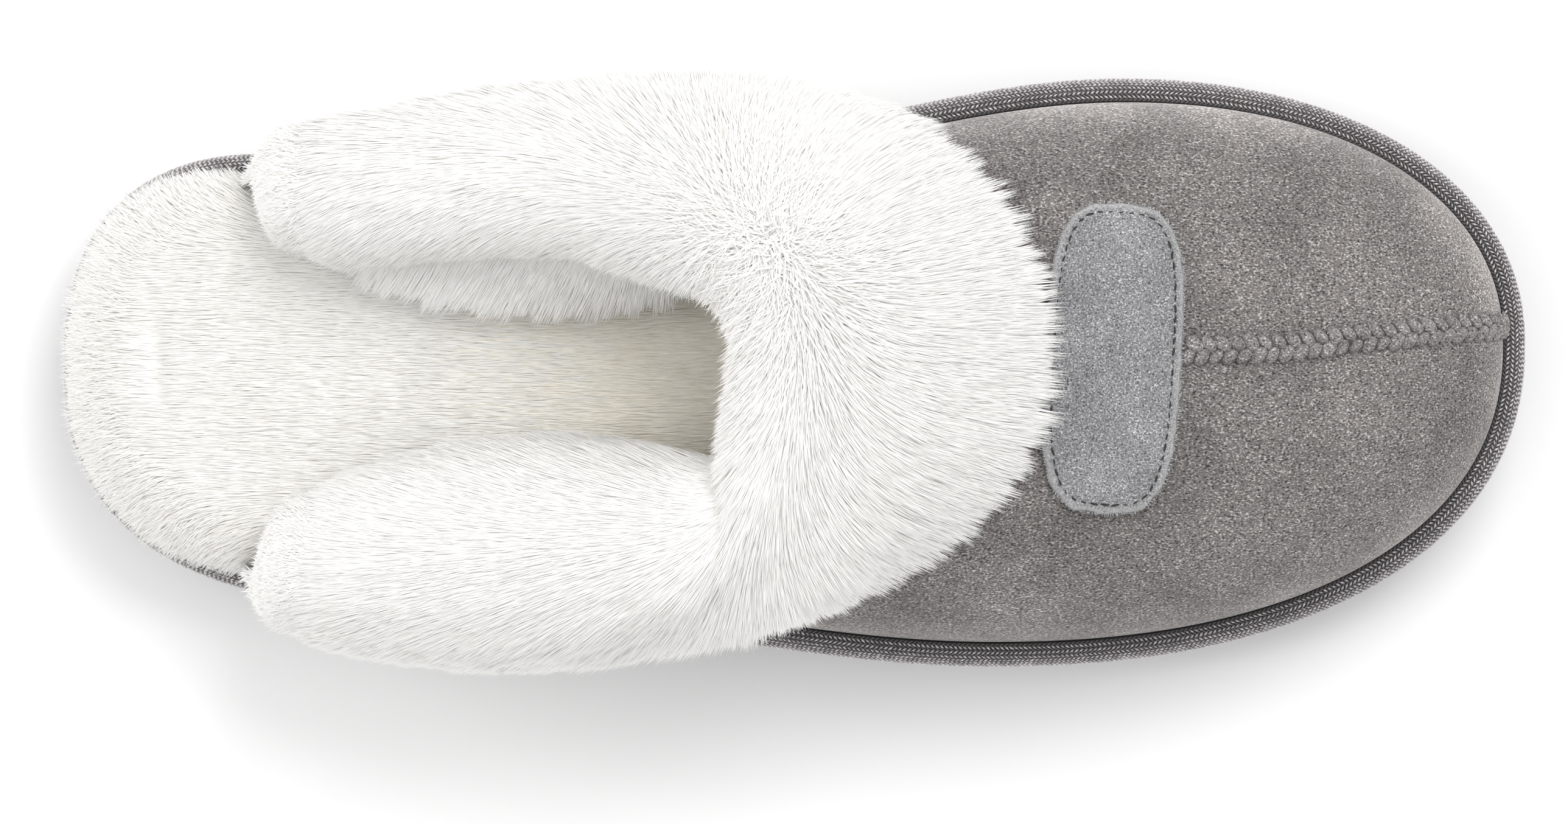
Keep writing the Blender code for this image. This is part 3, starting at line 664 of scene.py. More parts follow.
# Units sewn or set along points: each point carries tangent, normal and unitSize
def unitsAlongTree():
    tree, given, out = newTree("unitsAlong", "GeometryNodeTree", [
        ("Spots", "Geometry", None), ("Unit", "Object", None),
        ("Size Jitter", "Float", 0.1), ("Turn Jitter", "Float", 0.1),
        ("Seed", "Int", 1), ("Finish", "Material", None),
    ], [("Units", "Geometry")])
    seed, sizeJitter, turnJitter = given["Seed"], given["Size Jitter"], given["Turn Jitter"]
    tangent, normal, unitSize = (
        named(tree, name, "FLOAT_VECTOR") for name in ("tangent", "normal", "unitSize"))
    points = wired(tree, "GeometryNodeMeshToPoints", {"Mesh": given["Spots"]})
    points = store(tree, points, "tone", chance(tree, 0.02, 0.98, seed + 13), "FLOAT")
    align = "FunctionNodeAlignRotationToVector"
    upright = wired(tree, align, {"Vector": normal}, axis="Z")
    ahead = wired(tree, align, {"Rotation": upright, "Vector": tangent}, axis="X", pivot_axis="Z")
    swing = chance(tree, turnJitter * -1.0, turnJitter, seed)
    turn = wired(tree, "FunctionNodeAxisAngleToRotation", {"Axis": (0, 0, 1), "Angle": swing})
    facing = wired(tree, "FunctionNodeRotateRotation", {0: ahead, 1: turn}, rotation_space="LOCAL")
    size = unitSize * chance(tree, sizeJitter * -1.0 + 1.0, sizeJitter + 1.0, seed + 7)
    units = plant(tree, points, given["Unit"], Rotation=facing, Scale=size)
    return endTree(tree, given, out, units, named(tree, "tone"), named(tree, "proud"))


unitsAlong = unitsAlongTree()


# One piece of units, set on rows of place, tangent and normal
def setUnits(name, slotName, rows, sizes, unit, finish, jitters, seed, *keep):
    spots, tangents, normals = zip(*rows)
    carrier = makePiece(name + "Spots", spots, [])
    sizes = np.broadcast_to(sizes, (len(spots), 3))
    for field, values in (("tangent", tangents), ("normal", normals), ("unitSize", sizes)):
        setAttribute(carrier.data, field, "FLOAT_VECTOR", [tuple(value) for value in values])
    made = bakeTree(name, carrier, unitsAlong, {
        "Unit": unit, "Size Jitter": jitters[0], "Turn Jitter": jitters[1], "Seed": seed, "Finish": finish,
    })
    stripMesh(made.data, finish, *keep)
    bpy.data.objects.remove(unit)
    print(name, len(spots), "units")
    return dress(made, slotName)


# Pile: strands that stand on a skin, lean with its nap and gather into locks
hair = {
    "lengths": (0.85, 1.12), "lockLengths": (-1.0, 0.6), "underShorter": 0.4, "underBroader": 0.9,
    "gustScale": 90.0, "gustSpread": 4.0, "level": 0.3, "wildLevel": 0.65,
    "leastLift": 0.004, "wildFlat": 0.9, "gatherPower": 1.5, "twist": 0.12,
    "toneShare": 0.85, "sideShare": 0.12, "sideStart": 0.07, "litTilt": 0.1,
}


def pileTree():
    tree, given, out = newTree("plushPile", "GeometryNodeTree", [
        ("Skin", "Geometry", None), ("Strand", "Object", None),
        ("Density", "Float", 3.0e6), ("Lock Density", "Float", 6.0e4),
        ("Width", "Float", 0.26 * mm), ("Droop", "Float", 0.4), ("Under Share", "Float", 0.45),
        ("Lock Jitter", "Float", 0.2), ("Gather", "Float", 0.5), ("Ruffle", "Float", 0.18),
        ("Frizz", "Float", 0.16), ("Seed", "Int", 1), ("Finish", "Material", None),
    ], [("Pile", "Geometry")])
    seed = given["Seed"]

    def scatter(density, scatterSeed):
        inputs = {"Mesh": given["Skin"], "Density": density, "Seed": scatterSeed}
        spread = addNode(tree, "GeometryNodeDistributePointsOnFaces", inputs, distribute_method="RANDOM")
        return wire(tree, spread.outputs["Points"]), wire(tree, spread.outputs["Normal"], True)

    here = wired(tree, "GeometryNodeInputPosition", vector=True)
    points, standing = scatter(given["Density"] * named(tree, "cover"), seed)
    locks, _ = scatter(given["Lock Density"], seed + 3)
    nearest = wired(tree, "GeometryNodeSampleNearest", {"Geometry": locks, "Sample Position": here})
    inputs = {"Geometry": locks, "Value": here, "Index": nearest}
    lockSpot = wired(tree, "GeometryNodeSampleIndex", inputs, vector=True, data_type="FLOAT_VECTOR")
    under = chance(tree, 0.0, 1.0, seed + 23).calc("LESS_THAN", given["Under Share"])
    lockLength = chance(tree, *hair["lockLengths"], seed + 29, ID=nearest) * given["Lock Jitter"] + 1.0
    strandLength = (under * -hair["underShorter"] + chance(tree, *hair["lengths"], seed + 11)) * lockLength
    for name, value in {
        "stand": standing, "root": here, "toLock": lockSpot - here,
        "reach": named(tree, "pileLength") * strandLength, "breadth": under * hair["underBroader"] + 1.0,
        "tone": chance(tree, 0.0, 1.0, seed + 13), "twist": chance(tree, -1.0, 1.0, seed + 17),
        "stray": chance(tree, (-1, -1, -1), (1, 1, 1), seed + 19, "FLOAT_VECTOR"),
    }.items():
        points = store(tree, points, name, value, "FLOAT_VECTOR" if value.vector else "FLOAT")
    strands = plant(tree, points, given["Strand"])

    along, side, wild, reach, breadth, twist, gathered = (named(tree, name) for name in (
        "along", "side", "wild", "reach", "breadth", "twist", "gathered"))
    root, stand, nap, stray, toLock = (named(tree, name, "FLOAT_VECTOR") for name in (
        "root", "stand", "nap", "stray", "toLock"))
    inputs = {"Vector": root, "Scale": hair["gustScale"], "Detail": 2.0}
    gust = wired(tree, "ShaderNodeTexNoise", inputs, "Color", True)
    ruffle = (gust - (0.5, 0.5, 0.5)) * (given["Ruffle"] * hair["gustSpread"])
    loose = ruffle + stray * (given["Frizz"] + wild)
    # stray hair keeps close to the skin's plane, so that no strand stands off its neighbours
    levelled = (wild * hair["wildLevel"] + hair["level"]) * loose.calc("DOT_PRODUCT", stand)
    lean = nap + (loose - stand * levelled)
    upright = (nap.calc("DOT_PRODUCT", nap) * -1.0 + 1.0).calc("MAXIMUM", hair["leastLift"])
    lift = upright.calc("SQRT") * (wild * -hair["wildFlat"] + 1.0)
    start = (stand * lift + lean).calc("NORMALIZE")
    end = (stand * (lift * given["Droop"]) + lean).calc("NORMALIZE")
    square = along * along * 0.5
    path = start * (along - square) + end * square
    gather = along.calc("POWER", hair["gatherPower"]) * (given["Gather"] * gathered)
    flat = start.calc("CROSS_PRODUCT", stand).calc("NORMALIZE")
    rise = start.calc("CROSS_PRODUCT", flat)
    swing = twist * hair["twist"]
    across = flat * swing.calc("COSINE") + rise * swing.calc("SINE")
    spot = root + path * reach + toLock * gather + across * (side * given["Width"] * breadth)
    shaped = wired(tree, "GeometryNodeSetPosition", {"Geometry": strands, "Position": spot})
    tone = named(tree, "tone") * hair["toneShare"] + (side * hair["sideShare"] + hair["sideStart"])
    return endTree(tree, given, out, shaped, tone, along)


plushPile = pileTree()


# A strand is a blade of two triangles, widest at its middle, where it bends
def growPile(name, slotName, points, faces, naps, fields, finish, settings, seed):
    carrier = makePiece(name + "Skin", points, faces)
    setAttribute(carrier.data, "nap", "FLOAT_VECTOR", naps)
    for field, values in fields.items():
        setAttribute(carrier.data, field, "FLOAT", values)
    blade = [(0, 0, 0), (-0.5, 0, 0.5), (0.5, 0, 0.5), (0, 0, 1)]
    strand = unitObject("strand", blade, [(0, 2, 1), (1, 2, 3)],
                        along=[0, 0.5, 0.5, 1], side=[0, -0.5, 0.5, 0])
    values = {**settings, "Strand": strand, "Seed": seed, "Finish": finish}
    made = bakeTree(name, carrier, plushPile, values)
    bpy.data.objects.remove(strand)
    mesh = made.data
    stands = np.zeros(len(mesh.vertices) * 3, np.float32)
    mesh.attributes["stand"].data.foreach_get("vector", stands)
    stripMesh(mesh, finish, "OFBake")
    # every strand is lit a little differently
    stands = stands.reshape(-1, len(blade), 3)
    tilt = hair["litTilt"]
    stands += np.random.default_rng(seed).uniform(-tilt, tilt, (len(stands), 1, 3))
    mesh.normals_split_custom_set_from_vertices(unitLength(stands.reshape(-1, 3)))
    mesh.calc_loop_triangles()
    print(name, len(mesh.loop_triangles), "triangles")
    return dress(made, slotName)


# Sole unit: rings from the tread up, its tread bars set on the floor side
soleUnit = {
    "steps": 90, "sharp": 40, "treadDeep": 0.7 * mm, "treadInsets": (7.5, 6.6), "topInset": 1.7 * mm,
    # inset and rise, in mm
    "rings": [(6.3, 0.1), (4.4, 0.0), (3.3, 0.25), (2.4, 0.8), (2.0, 1.6), (1.9, 2.6), (1.85, 3.6)],
    "barPitch": 7.0 * mm, "barStart": 3 * mm, "barInset": 8 * mm, "barEnds": 2 * mm, "barSides": 1.5 * mm,
    "barSize": (5.0 * mm, 2.2 * mm, 0.64 * mm), "barSlant": 0.8,
    "barTaper": (0.88, 0.75), "barTop": 0.6, "barFoot": -0.3, "barBevel": 0.08, "barSeed": 5,
}


def floorSide(x):
    riseStart, riseEnd, fallStart, fallEnd = last["archEnds"]
    arch = last["archRise"] * (fade(x, riseStart, riseEnd) - fade(x, fallStart, fallEnd))
    bevel = max(0.0, 1 - x / last["bevelLength"])
    return toeLift(x) + arch + last["bevelRise"] * bevel * bevel


def treadBar():
    shape = bmesh.new()
    bmesh.ops.create_cube(shape, size=1)
    for vertex in shape.verts:
        if vertex.co.z > 0:
            vertex.co.x *= soleUnit["barTaper"][0]
            vertex.co.y *= soleUnit["barTaper"][1]
            vertex.co.z = soleUnit["barTop"]
        else:
            vertex.co.z = soleUnit["barFoot"]
    bmesh.ops.bevel(shape, geom=list(shape.edges), offset=soleUnit["barBevel"], segments=1, affect="EDGES")
    top = max(vertex.co.z for vertex in shape.verts)
    for vertex in shape.verts:
        vertex.co.z /= top
    return unitFromBmesh("treadBar", shape)


def makeSole():
    loop = soleOutline(soleUnit["steps"])
    count = len(loop)
    deep, pitch = soleUnit["treadDeep"], soleUnit["barPitch"]
    rows = [(inset * mm, deep) for inset in soleUnit["treadInsets"]]
    rows += [(inset * mm, rise * mm) for inset, rise in soleUnit["rings"]]
    points = []
    for inset, rise in rows:
        points += [(x, y, floorSide(x) + rise) for x, y in insetLoop(loop, inset)]
    points += [(x, y, toeLift(x) + last["outsoleThick"]) for x, y in insetLoop(loop, soleUnit["topInset"])]
    faces = gridFaces(len(rows) + 1, count, closedColumns=True)
    faces += capFaces(0, count) + capFaces(len(rows) * count, count)
    sole = makePiece("soleUnit", points, faces, soleRubber)
    cleanMesh(sole)
    keepSharp(sole, soleUnit["sharp"])
    dress(sole, "sole_rubber", "outsole")

    bars = []
    inner = insetLoop(loop, soleUnit["barInset"])
    medial, lateral = splitLoop(inner)
    first, final = inner[:, 0].min() + soleUnit["barEnds"], inner[:, 0].max() - soleUnit["barEnds"]
    for column in range(int(last["length"] / pitch) + 1):
        x = column * pitch + soleUnit["barStart"]
        if not first < x < final:
            continue
        high = np.interp(x, *medial.T) - soleUnit["barSides"]
        low = np.interp(x, *lateral.T) + soleUnit["barSides"]
        rise = (floorSide(x + mm) - floorSide(x - mm)) / (2 * mm)
        for row in range(int((high - low) / pitch) + 1):
            y = low + row * pitch + (high - low) % pitch / 2
            slant = soleUnit["barSlant"] * (1 if (row + column) % 2 else -1)
            tangent, normal = Vector((1, slant, rise)), Vector((rise, 0, -1))
            bars.append(((x, y, floorSide(x) + deep), tangent.normalized(), normal.normalized()))
    setUnits("soleTread", "sole_rubber", bars, soleUnit["barSize"], treadBar(), soleRubber,
             (0.0, 0.0), soleUnit["barSeed"])


# Woven tape round the platform, turned in over its top edge
tapeBand = {
    # inset and height, in mm
    "profile": [(1.6, 0), (0.4, 3.4), (0, 7.2), (0.6, 10.6), (1.9, 12.9), (4.2, 13.9)],
    "lip": 1.5 * mm, "thick": 1.2 * mm, "steps": 150, "across": 18, "sharp": 50,
    "column": 0.98 * mm, "columnStart": 0.6, "columnProbe": 0.2, "pitch": 0.86 * mm, "pitchProbe": 0.3 * mm,
    "slant": 0.85, "strokeRise": 0.06 * mm, "strokeSize": (1.36 * mm, 0.46 * mm, 0.58 * mm),
    "strokeJitter": (0.12, 0.16), "strokeSeed": 61,
}


def tapeRing(loop, inset, height):
    tall = tapeBand["profile"][-1][1]
    ring = []
    for x, y in insetLoop(loop, inset * mm):
        foot = platformFoot(x)
        ring.append((x, y, foot + (platformTop(x) + tapeBand["lip"] - foot) * height / tall))
    return ring


# Strokes of the weave: columns across the tape, slanted one way and then the other
def makeTapeStrokes(loop, profile):
    travel = travelAlong(profile)
    rows = []
    for column in range(int(travel[-1] * mm / tapeBand["column"])):
        at = (column + tapeBand["columnStart"]) * tapeBand["column"] / mm
        below, above = (closeLoop(np.array(tapeRing(loop, *pointsAt(profile, travel, at + step))))
                        for step in (-tapeBand["columnProbe"], tapeBand["columnProbe"]))
        middle = (below + above) / 2
        run = travelAlong(middle)
        number = int(run[-1] / tapeBand["pitch"])
        places = (np.arange(number) + 0.5 * (column % 2)) * run[-1] / number
        before = pointsAt(middle, run, (places - tapeBand["pitchProbe"]) % run[-1])
        after = pointsAt(middle, run, (places + tapeBand["pitchProbe"]) % run[-1])
        ahead = unitLength(after - before)
        across = unitLength(pointsAt(above, run, places) - pointsAt(below, run, places))
        outward = np.cross(across, ahead)
        slant = tapeBand["slant"] * (1 if column % 2 else -1)
        spots = pointsAt(middle, run, places) + outward * tapeBand["strokeRise"]
        rows += zip(spots, ahead + across * slant, outward)
    points = [(-0.5, 0, 0), (0, -0.5, 0), (0.5, 0, 0), (0, 0.5, 0), (0, 0, 0.5), (0, 0, -0.5)]
    faces = [(0, 1, 4), (1, 2, 4), (2, 3, 4), (3, 0, 4), (1, 0, 5), (2, 1, 5), (3, 2, 5), (0, 3, 5)]
    # proud runs from the stroke's foot to its crown; the thread's colour paints a highlight on the crown and
    # shade at the foot
    stroke = unitObject("stroke", points, faces, proud=[0.3, 0.25, 0.3, 0.25, 1, 0])
    setUnits("tapeStrokes", "woven_tape", rows, tapeBand["strokeSize"], stroke, tapeThread,
             tapeBand["strokeJitter"], tapeBand["strokeSeed"], "OFBake")


def makeTape():
    rows = [(i, *p) for i, p in enumerate(tapeBand["profile"])]
    across = tapeBand["across"]
    places = [(len(rows) - 1) * k / across for k in range(across + 1)]
    outer = np.array([(curveAt(rows, at, 1), curveAt(rows, at, 2)) for at in places])
    index = np.arange(across + 1)
    ahead = unitLength(outer[np.minimum(index + 1, across)] - outer[np.maximum(index - 1, 0)])
    inner = outer + np.stack([ahead[:, 1], -ahead[:, 0]], axis=1) * tapeBand["thick"] / mm
    inner[0, 1] = 0
    section = np.concatenate([outer, inner[::-1]])
    loop = soleOutline(tapeBand["steps"])
    count = len(loop)
    widths, lengths = travelAlong(closeLoop(section)) * mm, travelAlong(closeLoop(loop))
    points = [spot for inset, height in section for spot in tapeRing(loop, inset, height)]
    faces = gridFaces(len(section), count, closedColumns=True, closedRows=True)
    tape = makePiece("tapeBinding", points, faces, wovenTape)
    weave = tape.data.uv_layers.new(name="tapeWeave")
    for polygon in tape.data.polygons:
        row, column = divmod(polygon.index, count)
        corners = [(row, column), (row, column + 1), (row + 1, column + 1), (row + 1, column)]
        for loopIndex, (r, c) in zip(polygon.loop_indices, corners):
            weave.data[loopIndex].uv = (lengths[c], widths[r])
    cleanMesh(tape, merge=0)
    keepSharp(tape, tapeBand["sharp"])
    dress(tape, "woven_tape", "binding")
    makeTapeStrokes(loop, outer)


# Suede vamp and sides on their backing; its colour takes a painted highlight low on the inner side
# and round the toe, where the light falls, and painted shade in the groove above the tape
vamp = {
    "highlightSide": ([0, 0.36, 0.5, 0.6, 0.7, 1], [1.0, 1.0, 0.75, 0.45, 0.2, 0.15]),
    "highlightEnd": 52, "highlightFade": 40,
    "grooveShadeSide": ([0, 0.52, 0.62, 1], [0.4, 0.4, 0.6, 0.6]),
    "grooveShadeEnd": ([0, 0.5, 0.62, 1], [19, 19, 21, 21]), "grooveShadeFade": 12,
}


def makeVamp():
    sideSteps, vampSteps, ribSteps = upper["sideSteps"], upper["vampSteps"], upper["ribSteps"]
    backX, throatX = upper["backX"], upper["throatX"]
    stations = [mix(backX, throatX, 1 - (1 - k / sideSteps) ** 2) for k in range(sideSteps + 1)]
    stations += [mix(throatX, upper["focusX"], (k + 1) / vampSteps) for k in range(vampSteps - 1)]
    ribs = [(crossRib(x, medialSide), collarAngle(x)) for x in stations]
    for k in range(upper["toeSteps"] + 1):
        ribs.append((toeRib(math.radians(90 - 180 * k / upper["toeSteps"])), 90.0))
    ribs += [(crossRib(x, lateralSide), collarAngle(x)) for x in reversed(stations)]
    points, highlightAndGrooveShade = [], []
    for place, (rib, end) in zip(np.linspace(0, 1, len(ribs)), ribs):
        light, dark, grooveShadeEnd = (readCurve(vamp[key], place) for key in ("highlightSide", "grooveShadeSide", "grooveShadeEnd"))
        for j in range(ribSteps + 1):
            theta = end * j / ribSteps
            points.append(ribPoint(rib, theta))
            # painted shade darkens the suede's foot in the groove above the tape; painted highlight lightens
            # the low inner side and the toe
            grooveShade = smooth((grooveShadeEnd - theta) / vamp["grooveShadeFade"]) * dark
            low = smooth((vamp["highlightEnd"] - theta) / vamp["highlightFade"])
            highlightAndGrooveShade.append(light * low * (1 - grooveShade) - grooveShade)
    vampShell = makePiece("vampShell", points, gridFaces(len(ribs), ribSteps + 1), suede, lining)
    setAttribute(vampShell.data, "highlightAndGrooveShade", "FLOAT", highlightAndGrooveShade)
    cleanMesh(vampShell)
    faceUp(vampShell)
    wall = vampShell.modifiers.new("wall", "SOLIDIFY")
    wall.thickness = upper["wall"]
    wall.offset = -1
    wall.use_even_offset = True
    wall.material_offset = 1
    dress(vampShell, "suede", "upper")


# Overcast seam along the toe: a low core in painted shade, darker than the tufts' suede, and two rows of tufts
toeSeam = {
    "start": 204 * mm, "bearing": 7.0, "aside": 1.5 * mm, "steps": 90, "sharp": 50,
    "width": 4.4 * mm, "coreSteps": 12, "coreRise": 0.15 * mm, "coreHeight": 0.7 * mm, "corePower": 0.7,
    "tuftPitch": 2.6 * mm, "tuftSize": (1.75 * mm, 1.14 * mm, 1.1 * mm), "tuftSide": 1.15 * mm, "tuftSet": 0.9,
    "tuftLean": 0.35, "slant": 1.15, "endGap": 2 * mm, "smoothFrom": 30 * mm, "smoothTo": 0.55,
    "lumps": (0.9, 1.08), "lumpSeed": 6, "tuftJitter": (0.14, 0.2), "tuftSeed": 21,
}


def seamPath(steps):
    spots = []
    flatSteps = steps // 4
    for k in range(flatSteps):
        x = mix(toeSeam["start"], upper["focusX"], k / flatSteps)
        spots.append((instepPoint(x, 90), instepNormal(x, 90)))
    rib = toeRib(math.radians(toeSeam["bearing"]))
    for k in range(1, steps - flatSteps + 1):
        theta = mix(90, toeSeam["bearing"], k / (steps - flatSteps))
        along = ribPoint(rib, theta - 1) - ribPoint(rib, min(theta + 1, 90))
        spots.append((ribPoint(rib, theta), along.cross(Vector((0, 1, 0))).normalized()))
    asides = [Vector((0, toeSeam["aside"] * (1 - k / steps), 0)) for k in range(len(spots))]
    return [(spot + aside, normal) for aside, (spot, normal) in zip(asides, spots)]


def makeSeam():
    path = seamPath(toeSeam["steps"])
    count = toeSeam["coreSteps"] + 1
    points = []
    for spot, normal in path:
        for k in range(count):
            turn = math.radians(-90 + 180 * k / toeSeam["coreSteps"])
            across = toeSeam["width"] / 2 * math.sin(turn)
            rise = toeSeam["coreRise"] + toeSeam["coreHeight"] * math.cos(turn) ** toeSeam["corePower"]
            points.append(spot + Vector((0, across, 0)) + normal * rise)
    faces = gridFaces(len(path), count, closedColumns=True)
    faces += [tuple(range(count)), tuple(range((len(path) - 1) * count, len(path) * count))]
    core = makePiece("toeSeamCore", points, faces, seamShade)
    cleanMesh(core)
    keepSharp(core, toeSeam["sharp"])
    dress(core, "seam_suede", "toe_seam")

    travel = travelAlong(np.array([tuple(spot) for spot, _ in path]))
    length, width, height = toeSeam["tuftSize"]
    rows, sizes = [], []
    for side in (-1, 1):
        at = toeSeam["endGap"] + (side > 0) * toeSeam["tuftPitch"] / 2
        while at < travel[-1] - toeSeam["endGap"]:
            index = int(np.searchsorted(travel, at))
            (spot, normal), (nextSpot, nextNormal) = path[index - 1], path[index]
            share = (at - travel[index - 1]) / (travel[index] - travel[index - 1])
            along = (nextSpot - spot).normalized()
            spot, normal = spot.lerp(nextSpot, share), normal.lerp(nextNormal, share)
            sideways = Vector((0, side, 0))
            rows.append((
                spot + sideways * toeSeam["tuftSide"] + normal * (toeSeam["coreHeight"] * toeSeam["tuftSet"]),
                (along - sideways * toeSeam["slant"]).normalized(),
                (normal + sideways * toeSeam["tuftLean"]).normalized()))
            flatten = mix(1.0, toeSeam["smoothTo"], fade(at, toeSeam["smoothFrom"], travel[-1]))
            sizes.append((length, width, height * flatten))
            at += toeSeam["tuftPitch"]
    shape = bmesh.new()
    bmesh.ops.create_uvsphere(shape, u_segments=12, v_segments=7, radius=1)
    lumps = random.Random(toeSeam["lumpSeed"])
    for vertex in shape.verts:
        vertex.co *= lumps.uniform(*toeSeam["lumps"])
    setUnits("toeSeamTufts", "seam_suede", rows, sizes, unitFromBmesh("tuft", shape), seamSuede,
             toeSeam["tuftJitter"], toeSeam["tuftSeed"])


# Suede patch across the vamp, cut raw and sewn down inside its edge
vampPatch = {
    "x": 192.4 * mm, "y": 0.9 * mm, "tilt": 3.4,
    "halfLength": 27.6 * mm, "halfWidth": 12.4 * mm, "power": 3.4, "thick": 1.2 * mm,
    "steps": 150, "fineSteps": 1200, "wobble": 0.16 * mm, "waveSeed": 4, "waves": 14,
    "waveCounts": (5, 45), "waveStarts": (0, 6.3), "waveSizes": (0.2, 1.0), "waveShare": 3,
    # rings from the edge inwards, in mm, then as shares of the last one
    "insets": (0, 0.12, 0.35, 0.7, 1.05, 1.35, 1.6, 1.85, 2.2, 2.8, 3.6),
    "shares": (0.82, 0.64, 0.46, 0.28, 0.12),
    "footLift": 0.1 * mm, "edgeRound": 0.5 * mm, "roundTo": 0.6, "strayTo": 1.2, "rawTo": 1.5,
    "stitchInset": 1.6 * mm, "stitchPitch": 1.9 * mm, "stitchSize": (1.25 * mm, 0.36 * mm, 0.3 * mm),
    "stitchProbe": 0.5 * mm, "stitchSunk": 0.8, "stitchJitter": (0.4, 0.3), "stitchSeed": 8,
    "grooveDeep": 0.2 * mm, "grooveWide": 0.35 * mm,
    "frayPitch": 0.2 * mm, "fraySize": (0.75 * mm, 0.16 * mm, 0.12 * mm), "frayReach": 0.3 * mm,
    "frayDrop": 0.25 * mm, "frayJitter": (0.5, 0.8), "fraySeed": 15,
}


# A smooth outline with even steps, and how far its raw edge strays outwards
def patchOutline():
    draw = random.Random(vampPatch["waveSeed"])
    waves = [(draw.randint(*vampPatch["waveCounts"]), draw.uniform(*vampPatch["waveStarts"]),
              draw.uniform(*vampPatch["waveSizes"])) for _ in range(vampPatch["waves"])]
    turns = -2 * np.pi * np.arange(vampPatch["fineSteps"]) / vampPatch["fineSteps"]
    waysOut = np.stack([np.cos(turns), np.sin(turns)], axis=1)
    fine = np.sign(waysOut) * np.abs(waysOut) ** (2 / vampPatch["power"])
    fine = closeLoop(fine * (vampPatch["halfWidth"], vampPatch["halfLength"]))
    travel = travelAlong(fine)
    spots = np.linspace(0, travel[-1], vampPatch["steps"], endpoint=False)
    phases = 2 * math.pi * spots / travel[-1]
    stray = vampPatch["wobble"] * sum(size * np.sin(n * phases + start) for n, start, size in waves)
    return pointsAt(fine, travel, spots), stray / vampPatch["waveShare"]


def patchSpot(across, along, lift):
    tilt = math.radians(vampPatch["tilt"])
    x = vampPatch["x"] + across * math.cos(tilt) + along * math.sin(tilt)
    y = vampPatch["y"] + along * math.cos(tilt) - across * math.sin(tilt)
    girth = instepGirth(x, y)
    normal = instepNormal(x, girth)
    return instepPoint(x, girth) + normal * lift, normal


def patchRing(loop, lift):
    return [patchSpot(across, along, lift)[0] for across, along in loop.tolist()]


# Rows for units on the patch, each turned from a first point to a second
def patchRows(firsts, seconds, lift):
    rows = []
    for first, second in zip(firsts.tolist(), seconds.tolist()):
        spot, normal = patchSpot(*first, lift)
        rows.append((spot, (patchSpot(*second, lift)[0] - spot).normalized(), normal))
    return rows


def makePatch():
    loop, stray = patchOutline()
    count = len(loop)
    top = last["seatGap"] + vampPatch["thick"]
    points = patchRing(insetLoop(loop, -stray), vampPatch["footLift"])
    edges = [1.0] * count
    for inset in vampPatch["insets"]:
        fromStitch = (inset * mm - vampPatch["stitchInset"]) / vampPatch["grooveWide"]
        dip = vampPatch["grooveDeep"] * math.exp(-fromStitch ** 2)
        rounded = vampPatch["edgeRound"] * max(0.0, 1 - inset / vampPatch["roundTo"]) ** 2
        ring = insetLoop(loop, inset * mm - stray * max(0.0, 1 - inset / vampPatch["strayTo"]))
        points += patchRing(ring, top - dip - rounded)
        edges += [max(0.0, 1 - inset / vampPatch["rawTo"])] * count
    inner = insetLoop(loop, vampPatch["insets"][-1] * mm)
    for share in vampPatch["shares"]:
        points += patchRing(inner * share, top)
    points.append(patchSpot(0, 0, top)[0])
    edges += [0.0] * (len(points) - len(edges))
    rings = 1 + len(vampPatch["insets"]) + len(vampPatch["shares"])
    faces = gridFaces(rings, count, closedColumns=True)
    lastRing = (rings - 1) * count
    faces += [(lastRing + k, lastRing + (k + 1) % count, len(points) - 1) for k in range(count)]
    patch = makePiece("vampPatch", points, faces, patchSuede)
    setAttribute(patch.data, "rawEdge", "FLOAT", edges)
    faceUp(patch)
    dress(patch, "patch_suede", "patch")

    line = closeLoop(insetLoop(loop, vampPatch["stitchInset"]))
    travel = travelAlong(line)
    number = int(travel[-1] / vampPatch["stitchPitch"])
    places = travel[-1] * np.arange(number) / number
    ahead = (places + vampPatch["stitchProbe"]) % travel[-1]
    rows = patchRows(pointsAt(line, travel, places), pointsAt(line, travel, ahead),
                     top - vampPatch["grooveDeep"] * vampPatch["stitchSunk"])
    shape = bmesh.new()
    bmesh.ops.create_uvsphere(shape, u_segments=8, v_segments=6, radius=0.5)
    setUnits("patchStitches", "patch_suede", rows, vampPatch["stitchSize"], unitFromBmesh("stitch", shape),
             stitchThread, vampPatch["stitchJitter"], vampPatch["stitchSeed"])

    number = int(travel[-1] / vampPatch["frayPitch"])
    inside = closeLoop(insetLoop(loop, vampPatch["frayReach"]))
    outside = closeLoop(insetLoop(loop, -vampPatch["frayReach"]))
    travel = travelAlong(inside)
    places = np.arange(number) * travel[-1] / number
    rows = patchRows(pointsAt(inside, travel, places), pointsAt(outside, travel, places),
                     top - vampPatch["frayDrop"])
    points = [(0, 0, 0), (0.4, -0.5, 0.2), (1, 0, 0.3), (0.4, 0.5, 0.2), (0.4, 0, 0.7)]
    fibre = unitObject("fibre", points, [(0, 1, 4), (1, 2, 4), (2, 3, 4), (3, 0, 4), (0, 3, 2, 1)])
    setUnits("patchFray", "patch_suede", rows, vampPatch["fraySize"], fibre, rawFray,
             vampPatch["frayJitter"], vampPatch["fraySeed"])


